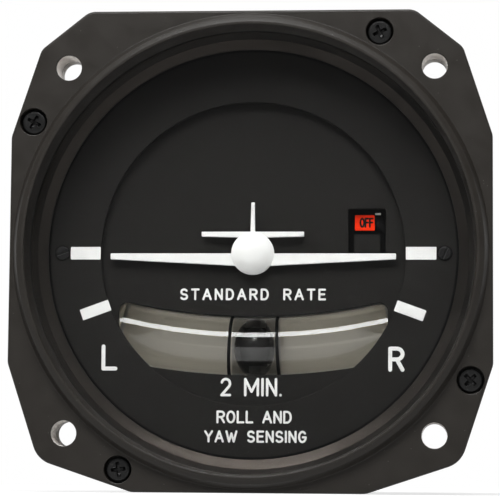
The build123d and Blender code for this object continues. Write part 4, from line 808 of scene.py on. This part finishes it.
def tube_window(grow=0.0):
    """The tube's window, clockwise: two arcs about the tube's centre, rounded at the top corners.

    The lower corners lie on the mask's opening, behind which they are out of sight.
    """
    half = TUBE_R - 0.1 + grow
    side = OPENING_R - 3.0
    centre_z = TUBE_Z + TUBE_ARC
    top_r, foot_r = TUBE_ARC - half, TUBE_ARC + half
    top = math.asin(side / top_r)
    corner = 1.6
    upper = np.linspace(-top + corner / top_r, top - corner / top_r, 41)
    upper = np.stack([top_r * np.sin(upper), centre_z - top_r * np.cos(upper)], -1)
    opening = OPENING_R + 0.6
    low_z = -math.sqrt(opening**2 - side**2)
    meet = np.arange(0.0, 30.0, 0.01)
    gap = np.hypot(foot_r * np.sin(np.radians(meet)), centre_z - foot_r * np.cos(np.radians(meet))) - opening
    last = math.radians(meet[np.argmax(gap > 0)])
    lower = np.linspace(-last, last, 41)
    lower = np.stack([foot_r * np.sin(lower), centre_z - foot_r * np.cos(lower)], -1)
    swing = np.radians(np.linspace(90, 0, 7))
    start = upper[-1]
    drop = np.stack([start[0] + (side - start[0]) * np.cos(swing),
                     start[1] - corner * (1 - np.sin(swing))], -1)
    first, end = math.atan2(low_z, side), math.atan2(lower[-1][1], lower[-1][0])
    rim = np.linspace(first, end, 7)[1:-1]
    rim = np.stack([opening * np.cos(rim), opening * np.sin(rim)], -1)
    right = np.vstack([drop[1:], [(side, low_z)], rim])
    left = (right * (-1, 1))[::-1]
    return np.vstack([upper, right, lower[::-1], left])


class COORDINATOR_OT_dial(bpy.types.Operator):
    """Makes the dial's mask, its recessed plate with both windows, the mask's screws, and black rings of painted shade
    round the screw heads and at the spacer's foot.
    """
    bl_idname = "turn_coordinator.dial"
    bl_label = "Dial"

    def execute(self, context):
        _, face, _ = settings()
        steps = face.turn_steps
        rim = 0.12
        opening = [(OPENING_R + rim, MASK_FRONT), (OPENING_R + rim / 3, MASK_FRONT + rim / 3),
                   (OPENING_R, MASK_FRONT + rim), (OPENING_R, MASK_BACK)]
        outer = wall(circle(MASK_R, steps), edge_steps(MASK_FRONT, MASK_BACK, 0.05, 2))
        make_piece("mask_disc", [plate([outer, bore(opening, steps)])], "case", "dial_black", replaced=["dial_mask"])
        outer = wall(circle(DIAL_R, steps), edge_steps(DIAL_FRONT, DIAL_BACK, 0.05, 2))
        hub = bore([(2.7, DIAL_FRONT), (2.7, DIAL_BACK)], 48)
        corners = [(16.5, -0.6), (16.5, 7.9), (23.0, 7.9), (23.0, -0.6)]
        stations = [(0.06, DIAL_FRONT), (0.02, DIAL_FRONT + 0.02), (0.0, DIAL_FRONT + 0.06), (0.0, DIAL_BACK)]
        flag_window = wall(rounded(corners, 0.35, 5), stations)
        window = wall(tube_window(), stations)
        make_piece("dial_disc", [plate([outer, hub, window, flag_window])], "case", "dial_black", replaced=["dial_plate"])
        heads = []
        for side, turn in ((-1, 20), (1, 65)):
            heads.append(screw_head((33.2 * side, 0), 1.15, MASK_FRONT - 0.35, 0.4, 2.1, 0.4, 0.28, turn, cross=False))
            heads.append(turned([(0, MASK_FRONT), (0.6, MASK_FRONT), (0.6, 11.5), (0, 11.5)], 24, (33.2 * side, 0), closed=False))
        make_piece("mask_screw_pair", heads, "case", "black_steel", replaced=["mask_screws"])
        # Black rings of painted shade on the mask: round each screw head, and at the spacer's foot where the gap
        # between spacer and mask lies in shadow.
        rings = [turned([(first, MASK_FRONT - 0.03), (last, MASK_FRONT - 0.03), (last, MASK_FRONT + 0.03), (first, MASK_FRONT + 0.03)], count, (place, 0))
                 for first, last, count, place in ((1.12, 1.36, 64, -33.2), (1.12, 1.36, 64, 33.2), (35.2, 35.66, steps, 0))]
        make_piece("mask_painted_shade_rings", rings, "case", "dial_black", "flag_black")
        return {"FINISHED"}


class COORDINATOR_OT_markings(bpy.types.Operator):
    """Paints the marks, letters and captions on the dial."""
    bl_idname = "turn_coordinator.markings"
    bl_label = "Marks and letters"

    def execute(self, context):
        _, face, _ = settings()
        thick, letter, caption = face.paint / MM, face.letter_stroke / MM, face.caption_stroke / MM
        bars = []
        for side in (-1, 1):
            bars.append(bar((29.12 * side, 0), 5.25, 2.2, 0, MASK_FRONT, thick))
            bars.append(bar(polar(29.0, 270 + 70 * side), 5.25, 1.95, -20 * side, MASK_FRONT, thick))
        make_piece("turn_marks", bars, "case", "pointer_white", "ink_white")
        words = lettering("L", -26.1, -23.3, -20.4, -15.9, letter, MASK_FRONT, thick)
        words += lettering("R", 23.5, 26.3, -20.4, -16.1, letter, MASK_FRONT, thick)
        words += lettering("ROLL AND", -6.0, 7.0, -29.4, -27.2, caption, MASK_FRONT, thick, 1.1)
        words += lettering("YAW SENSING", -8.1, 9.6, -32.7, -30.6, caption, MASK_FRONT, thick, 1.1)
        make_piece("mask_letters", words, "case", "pointer_white", "ink_white")
        words = lettering("STANDARD RATE", -12.7, 12.7, -8.05, -6.0, caption, DIAL_FRONT, thick, 1.15)
        words += lettering("2 MIN.", -5.5, 5.15, -24.7, -21.5, 0.44, DIAL_FRONT, thick)
        make_piece("dial_letters", words, "case", "pointer_white", "ink_white")
        return {"FINISHED"}


class COORDINATOR_OT_pointer(bpy.types.Operator):
    """Makes the white aeroplane: tapered wings, tail and fin of sheet, and a domed body with its hub."""
    bl_idname = "turn_coordinator.pointer"
    bl_label = "Aeroplane pointer"

    def execute(self, context):
        half = OPENING_R - 1.6
        back = DIAL_FRONT - 0.75
        front = back - 0.6
        wing = rounded([(-half, -1.03), (-3.3, -2.15), (3.3, -2.15), (half, -1.03), (half, 0), (-half, 0)],
                       [0.12, 0.5, 0.5, 0.12, 0.12, 0.12], 4)
        tail = rounded([(-8.9, 2.94), (0, 2.73), (8.9, 2.94), (8.9, 3.78), (0.4, 3.78), (0.3, 8.88),
                        (-0.3, 8.88), (-0.4, 3.78), (-8.9, 3.78)],
                       [0.1, 0.2, 0.1, 0.1, 0.06, 0.1, 0.1, 0.06, 0.1], 4)
        radius, rise = 3.72, 1.2
        ball = (radius**2 + rise**2) / (2 * rise)
        sweep = np.linspace(0, math.asin(radius / ball), 18)
        dome = np.stack([ball * np.sin(sweep), front - rise + ball * (1 - np.cos(sweep))], -1)
        body = np.vstack([dome, [(radius, back), (2.4, back), (2.4, back + 2.2), (0, back + 2.2)]])
        parts = [sheet(wing, front, 0.6, 0.08), sheet(tail, front, 0.6, 0.08), turned(body, 96, closed=False)]
        make_piece("aeroplane", parts, "pointer", "pointer_white", replaced=["aircraft_pointer"])
        return {"FINISHED"}


class COORDINATOR_OT_slip_tube(bpy.types.Operator):
    """Makes the slip indicator: bent tube, ball, and the two lines across the tube."""
    bl_idname = "turn_coordinator.slip_tube"
    bl_label = "Slip indicator"

    def execute(self, context):
        rod = closed_rod(along_arc(TUBE_R, -TUBE_HALF, TUBE_HALF, 121, 96))
        make_piece("slip_tube", [rod], "case", "tube_glass", replaced=["inclinometer_tube"], angle=60)
        paint = trough(TUBE_R + 0.02, TUBE_R + 0.07, 0.4 - TUBE_HALF, TUBE_HALF - 0.4, 121, 49)
        make_piece("tube_paint", [paint], "case", "tube_back", angle=60)
        make_piece("slip_ball", [ball_surface(BALL_R, (0, TUBE_Y, TUBE_Z))], "slip_ball", "ball_black",
                   replaced=["inclinometer_ball"], angle=60)
        lines = []
        for side in (-1, 1):
            lean = math.degrees(4.17 / TUBE_ARC) * side
            half = math.degrees(0.28 / TUBE_ARC)
            turn = np.linspace(np.pi, 2 * np.pi, 49)
            section = [(TUBE_R + 0.01, lean - half), (TUBE_R + 0.2, lean - half), (TUBE_R + 0.25, lean - half * 0.7),
                       (TUBE_R + 0.25, lean + half * 0.7), (TUBE_R + 0.2, lean + half), (TUBE_R + 0.01, lean + half)]
            rows = []
            for radius, angle in section:
                a = math.radians(angle)
                reach = TUBE_ARC + radius * np.cos(turn)
                rows.append(np.stack([reach * math.sin(a), TUBE_Y + radius * np.sin(turn),
                                      TUBE_Z + TUBE_ARC - reach * math.cos(a)], -1))
            rows = np.stack(rows, 1)
            ends = [np.repeat(rows[k].mean(0)[None], 6, 0)[None] for k in (0, -1)]
            rows = np.concatenate([ends[0], rows, ends[1]])
            lines.append((rows.reshape(-1, 3), grid_faces(rows.shape[0], 6, False, True)))
        make_piece("tube_lines", lines, "case", "line_black", replaced=["centre_lines"])
        return {"FINISHED"}


class COORDINATOR_OT_flag(bpy.types.Operator):
    """Makes the warning flag with its arm, hub and lettering, a black well behind it, and a pale tab whose colour
    paints the glint at the arm's tip.
    """
    bl_idname = "turn_coordinator.flag"
    bl_label = "Warning flag"

    def execute(self, context):
        _, face, _ = settings()
        px, pz = 27.0, 1.0
        left, right, low, high = 17.6, 21.05, 4.26, 6.98
        panel = rounded([(left, low), (right, low), (right, high), (left, high)], 0.15, 4)
        arm = rounded([(px - 0.5, pz - 0.5), (px + 0.5, pz + 0.5), (right, high), (right - 1.0, high), (right - 1.0, high - 1.0)],
                      0.08, 3)
        hub = plate([wall(circle(1.5, 48, (px, pz)), edge_steps(FLAG_FRONT, FLAG_BACK, 0.05, 3)),
                     bore([(0.6, FLAG_FRONT), (0.6, FLAG_BACK)], 24, (px, pz))])
        make_piece("warning_flag", [sheet(panel, FLAG_FRONT, 0.4, 0.06)], "flag", "flag_orange", replaced=["off_flag"])
        make_piece("flag_arm", [sheet(arm, FLAG_FRONT + 0.01, 0.38, 0.06), hub], "flag", "flag_orange", "flag_black")
        well = rounded([(15.9, -1.2), (23.6, -1.2), (23.6, 8.5), (15.9, 8.5)], 0.5, 5)
        make_piece("flag_well", [sheet(well, FLAG_BACK + 0.35, 0.2, 0.05)], "case", "dial_black", "flag_black")
        words = lettering("OFF", 18.4, 20.85, 4.75, 6.5, 0.32, FLAG_FRONT, 0.03, 0.72)
        make_piece("flag_letters", words, "flag", "line_black")
        # Painted highlight: a small tab beside the arm's tip, pale in colour so that it stands for the glint there.
        glint_tab = rounded([(21.1, 7.03), (22.1, 7.03), (22.1, 7.36), (21.1, 7.3)], 0.06, 3)
        make_piece("flag_tab_painted_glint", [sheet(glint_tab, FLAG_FRONT - 0.1, FLAG_BACK - FLAG_FRONT + 0.5, 0.04)], "case", "chassis_aluminium", "bare_bore")
        return {"FINISHED"}


class COORDINATOR_OT_case(bpy.types.Operator):
    """Makes the case with its flange, the rear cover and its screws."""
    bl_idname = "turn_coordinator.case"
    bl_label = "Case and rear cover"

    def execute(self, context):
        _, face, _ = settings()
        steps = face.turn_steps
        flange_back = CASE_FRONT + FLANGE_T
        outer = wall(flange_outline(), edge_steps(CASE_FRONT, flange_back, 0.25, 4))
        turn = np.linspace(0, np.pi / 2, 6)
        foot = np.stack([CASE_R + 0.9 - 0.9 * np.sin(turn), flange_back + 0.9 - 0.9 * np.cos(turn)], -1)[::-1]
        end = np.stack([CASE_R - 0.25 + 0.25 * np.sin(turn), CASE_END - 0.25 + 0.25 * np.cos(turn)], -1)
        inside = [(SPACER_R + 0.05, CASE_FRONT), (SPACER_R + 0.05, MASK_BACK), (BORE_R, MASK_BACK),
                  (BORE_R, CASE_END)]
        shell = bore(np.vstack([inside, end, foot]), steps)
        holes = [bore([(MOUNT_R, CASE_FRONT), (MOUNT_R, flange_back)], 64, spot) for spot in MOUNTS]
        holes += [bore([(1.2, CASE_FRONT), (1.2, flange_back)], 32, spot) for spot in CASE_SCREWS]
        make_piece("case_body", [plate([outer, shell, *holes])], "case", "case_paint", replaced=["case_shell"])
        edge = rounded([(0, COVER_FRONT), (CASE_R, COVER_FRONT), (CASE_R, COVER_BACK), (0, COVER_BACK)],
                       [0.001, 0.15, 0.5, 0.001], 6)
        profile = np.vstack([[(0, COVER_FRONT - 0.6), (BORE_R - 0.05, COVER_FRONT - 0.6), (BORE_R - 0.05, COVER_FRONT)],
                             edge[6:18], [(33.2, COVER_BACK), (33.05, COVER_BACK - 0.25), (32.4, COVER_BACK - 0.25),
                                          (32.25, COVER_BACK), (0, COVER_BACK)]])
        make_piece("rear_lid", [turned(profile, steps, closed=False)], "case", "case_paint", replaced=["rear_cover"])
        screws = []
        for k in range(4):
            spot = polar(BORE_R - 2.2, 90 * k)
            screws.append(screw_head(spot, 1.9, COVER_BACK + 1.3, 1.3, 2.2, 0.48, 0.7, 15 + 31 * k, way=-1))
            screws.append(turned([(0, COVER_BACK - 6), (0.9, COVER_BACK - 6), (0.9, COVER_BACK), (0, COVER_BACK)], 24, spot, closed=False))
        make_piece("lid_screws", screws, "case", "bright_steel", replaced=["rear_screws"])
        return {"FINISHED"}


class COORDINATOR_OT_connector(bpy.types.Operator):
    """Makes the round connector: square flange, threaded shell, pins and screws."""
    bl_idname = "turn_coordinator.connector"
    bl_label = "Connector"

    def execute(self, context):
        square = rounded(np.array([(-1, -1), (1, -1), (1, 1), (-1, 1)]) * 12.7 + (0, PLUG_Z), 3.0, 8)
        corners = [np.array((sx * 9.13, PLUG_Z + sz * 9.13)) for sx in (-1, 1) for sz in (-1, 1)]
        front, back = SHELL_FRONT, SHELL_FRONT + 2.0
        inner = np.array([(SHELL_BORE, front), (SHELL_BORE, SHELL_END - 0.3), (SHELL_BORE + 0.3, SHELL_END)])
        walls = [wall(square, edge_steps(front, back, 0.2, 4))]
        around = 96
        turn = -np.linspace(0, 2 * np.pi, around, endpoint=False)[None, :]
        depth = np.linspace(SHELL_END - 0.5, back + 1.4, 181)[:, None]
        wave = np.abs(((depth / THREAD_PITCH - turn / (2 * np.pi)) % 1.0) * 2 - 1)
        fade = np.clip((depth - back - 1.4) / 1.3, 0, 1) * np.clip((SHELL_END - 0.5 - depth) / 0.7, 0, 1)
        radius = SHELL_R - 0.02 - 0.42 * np.clip(wave * 1.3 - 0.15, 0, 1) * fade - 0.25 * (1 - fade)
        thread = np.stack([radius * np.cos(turn), depth + 0 * turn, PLUG_Z + radius * np.sin(turn)], -1)
        ends = bore([(SHELL_R - 0.75, SHELL_END)], around, (0, PLUG_Z))
        neck = bore([(SHELL_R - 0.3, back + 1.2), (SHELL_R - 0.3, back + 0.3), (SHELL_R, back)], around, (0, PLUG_Z))
        walls.append(np.concatenate([bore(inner, around, (0, PLUG_Z)), ends, thread, neck]))
        walls += [bore([(0.95, front), (0.95, back)], 32, spot) for spot in corners]
        make_piece("plug_shell", [plate(walls)], "case", "connector_metal", replaced=["connector_shell"])
        pins, screws = [], []
        for k in range(3):
            spot = polar(3.2, 90 + 120 * k) + (0, PLUG_Z)
            tip = np.linspace(0, np.pi / 2, 8)
            nose = np.stack([0.8 * np.cos(tip), PIN_TIP - 0.8 + 0.8 * np.sin(tip)], -1)
            pins.append(turned(np.vstack([[(0, PIN_FRONT), (0.8, PIN_FRONT)], nose]), 40, spot, closed=False))
        make_piece("plug_pins", pins, "case", "pin_gold", replaced=["connector_pins"])
        for k, spot in enumerate(corners):
            screws.append(screw_head(spot, 1.9, back + 1.3, 1.3, 2.2, 0.48, 0.7, 40 + 23 * k, way=-1))
            screws.append(turned([(0, back - 3), (0.85, back - 3), (0.85, back), (0, back)], 24, spot, closed=False))
        make_piece("plug_screws", screws, "case", "bright_steel", replaced=["connector_screws"])
        return {"FINISHED"}


def area_lamp(name, place, aim, width, height, power, colour=(1, 1, 1)):
    """A rectangular lamp that faces a point, with sizes in metres."""
    lamp = bpy.data.lights.new(name, "AREA")
    lamp.shape = "RECTANGLE"
    lamp.size, lamp.size_y = width, height
    lamp.energy = power
    lamp.color = colour
    obj = bpy.data.objects.new(name, lamp)
    bpy.context.scene.collection.objects.link(obj)
    obj.location = place
    obj.rotation_euler = (Vector(aim) - Vector(place)).to_track_quat("-Z", "Y").to_euler()


def white_floor(name):
    """Pale floor paint: plain under light, and lifted to white where the camera, gloss or glass sees it."""
    tree, out, place = fresh_material(name)
    noise = add(tree, "ShaderNodeTexNoise", [("Vector", place), ("Scale", 40.0)])
    tint = add(tree, "ShaderNodeMix", [(0, noise.outputs["Fac"]), (6, (0.48, 0.48, 0.48, 1)), (7, (0.5, 0.5, 0.5, 1))], data_type="RGBA")
    shader = add(tree, "ShaderNodeBsdfPrincipled", [("Base Color", tint.outputs[2]), ("Roughness", 0.9), ("Specular IOR Level", 0.1)])
    path = tree.nodes.new("ShaderNodeLightPath")
    seen = add(tree, "ShaderNodeMath", [
        (0, path.outputs["Is Glossy Ray"]), (1, path.outputs["Is Transmission Ray"])], operation="MAXIMUM")
    seen = add(tree, "ShaderNodeMath", [(0, seen.outputs[0]), (1, 0.5)], operation="MULTIPLY")
    seen = add(tree, "ShaderNodeMath", [(0, seen.outputs[0]), (1, path.outputs["Is Camera Ray"])], operation="MAXIMUM")
    away = add(tree, "ShaderNodeVectorMath", [(0, place)], operation="LENGTH")
    level = add(tree, "ShaderNodeMapRange", [
        ("Value", away.outputs["Value"]), ("From Min", 0.16), ("From Max", 0.45), ("To Min", 0.72), ("To Max", 1.0)])
    glow = add(tree, "ShaderNodeEmission", [("Color", (1, 1, 1, 1)), ("Strength", level.outputs[0])])
    dark = add(tree, "ShaderNodeEmission", [("Strength", 0.0)])
    pick = add(tree, "ShaderNodeMixShader", [(0, seen.outputs[0]), (1, dark.outputs[0]), (2, glow.outputs[0])])
    both = add(tree, "ShaderNodeAddShader", [(0, shader.outputs[0]), (1, pick.outputs[0])])
    tree.links.new(both.outputs[0], out.inputs["Surface"])


class COORDINATOR_OT_stage(bpy.types.Operator):
    """Sets the floor, the sky, the lamps and the camera."""
    bl_idname = "turn_coordinator.stage"
    bl_label = "Stage"

    def execute(self, context):
        _, _, studio = settings()
        scene = context.scene
        white_floor("pale_floor")
        reach = np.linspace(-2.0, 2.0, 9)
        x, y = np.meshgrid(reach, reach, indexing="ij")
        level = CAD_BOX[0][2] - 0.0001
        points = np.stack([x, y, np.full_like(x, level)], -1).reshape(-1, 3)
        mesh = bpy.data.meshes.new("floor")
        mesh.from_pydata(points.tolist(), [], grid_faces(9, 9, False, False))
        mesh.flip_normals()
        mesh.materials.append(bpy.data.materials["pale_floor"])
        floor = bpy.data.objects.new("floor", mesh)
        scene.collection.objects.link(floor)

        world = bpy.data.worlds.new("studio_sky")
        world.use_nodes = True
        tree = world.node_tree
        tree.nodes.clear()
        path = tree.nodes.new("ShaderNodeLightPath")
        even = add(tree, "ShaderNodeBackground", [("Color", (1, 1, 1, 1)), ("Strength", studio.sky)])
        white = add(tree, "ShaderNodeBackground", [("Color", (1, 1, 1, 1)), ("Strength", 1.0)])
        place = tree.nodes.new("ShaderNodeTexCoord")
        towards = add(tree, "ShaderNodeSeparateXYZ", [(0, place.outputs["Generated"])])
        behind = add(tree, "ShaderNodeMath", [(0, towards.outputs[1]), (1, 0.0)], operation="GREATER_THAN")
        clear_ray = add(tree, "ShaderNodeMath", [(0, path.outputs["Is Glossy Ray"]), (1, path.outputs["Is Transmission Ray"])], operation="MAXIMUM")
        backdrop = add(tree, "ShaderNodeMath", [(0, clear_ray.outputs[0]), (1, behind.outputs[0])], operation="MULTIPLY")
        seen = add(tree, "ShaderNodeMath", [(0, path.outputs["Is Camera Ray"]), (1, backdrop.outputs[0])], operation="MAXIMUM")
        mix = add(tree, "ShaderNodeMixShader", [(0, seen.outputs[0]), (1, even.outputs[0]), (2, white.outputs[0])])
        out = tree.nodes.new("ShaderNodeOutputWorld")
        tree.links.new(mix.outputs[0], out.inputs["Surface"])
        scene.world = world

        area_lamp("key", (-0.32, -0.55, 0.48), (0, 0, 0), 0.5, 0.4, studio.key)
        area_lamp("fill", (0.5, -0.55, 0.1), (0, 0, 0), 0.45, 0.45, studio.fill)
        area_lamp("strip", (-0.04, -0.286, 0.383), (0, 0, -0.01), 0.32, 0.24, studio.strip)

        camera = bpy.data.cameras.new("photo_camera")
        camera.lens = studio.focal_length
        camera.sensor_width = 36.0
        camera.clip_start = 0.001
        obj = bpy.data.objects.new("photo_camera", camera)
        scene.collection.objects.link(obj)
        place, aim = Vector(studio.camera_place), Vector(studio.camera_aim)
        turn = (aim - place).to_track_quat("-Z", "Y") @ Quaternion((0, 0, 1), studio.camera_roll)
        obj.location = place
        obj.rotation_euler = turn.to_euler()
        scene.camera = obj
        scene.view_settings.view_transform = "Standard"
        return {"FINISHED"}


class COORDINATOR_PT_panel(bpy.types.Panel):
    """Lists the settings and the steps that build the instrument."""
    bl_label = "Turn Coordinator"
    bl_idname = "COORDINATOR_PT_panel"
    bl_space_type = "VIEW_3D"
    bl_region_type = "UI"
    bl_category = "Turn Coordinator"

    def draw(self, context):
        for title, group in zip(("Finish", "Face", "Studio"), settings()):
            box = self.layout.box()
            box.label(text=title)
            for prop in group.bl_rna.properties:
                if prop.identifier not in ("rna_type", "name"):
                    box.prop(group, prop.identifier)
        for operator in OPERATORS:
            self.layout.operator(operator.bl_idname)


OPERATORS = (
    COORDINATOR_OT_finishes,
    COORDINATOR_OT_bezel,
    COORDINATOR_OT_glass,
    COORDINATOR_OT_dial,
    COORDINATOR_OT_markings,
    COORDINATOR_OT_pointer,
    COORDINATOR_OT_slip_tube,
    COORDINATOR_OT_flag,
    COORDINATOR_OT_case,
    COORDINATOR_OT_connector,
    COORDINATOR_OT_stage,
)
CLASSES = (FinishSettings, FaceSettings, StudioSettings, *OPERATORS, COORDINATOR_PT_panel)


def register():
    """Registers the classes and hangs the settings on the scene."""
    for cls in CLASSES:
        bpy.utils.register_class(cls)
    bpy.types.Scene.coordinator_finish = bpy.props.PointerProperty(type=FinishSettings)
    bpy.types.Scene.coordinator_face = bpy.props.PointerProperty(type=FaceSettings)
    bpy.types.Scene.coordinator_studio = bpy.props.PointerProperty(type=StudioSettings)


def unregister():
    """Removes the settings and the classes."""
    del bpy.types.Scene.coordinator_studio
    del bpy.types.Scene.coordinator_face
    del bpy.types.Scene.coordinator_finish
    for cls in reversed(CLASSES):
        bpy.utils.unregister_class(cls)


def main():
    register()
    steps = bpy.ops.turn_coordinator
    for step in (steps.finishes, steps.bezel, steps.glass, steps.dial, steps.markings, steps.pointer,
                 steps.slip_tube, steps.flag, steps.case, steps.connector, steps.stage):
        step()
    bpy.context.view_layer.update()


if __name__ == "__main__":
    main()
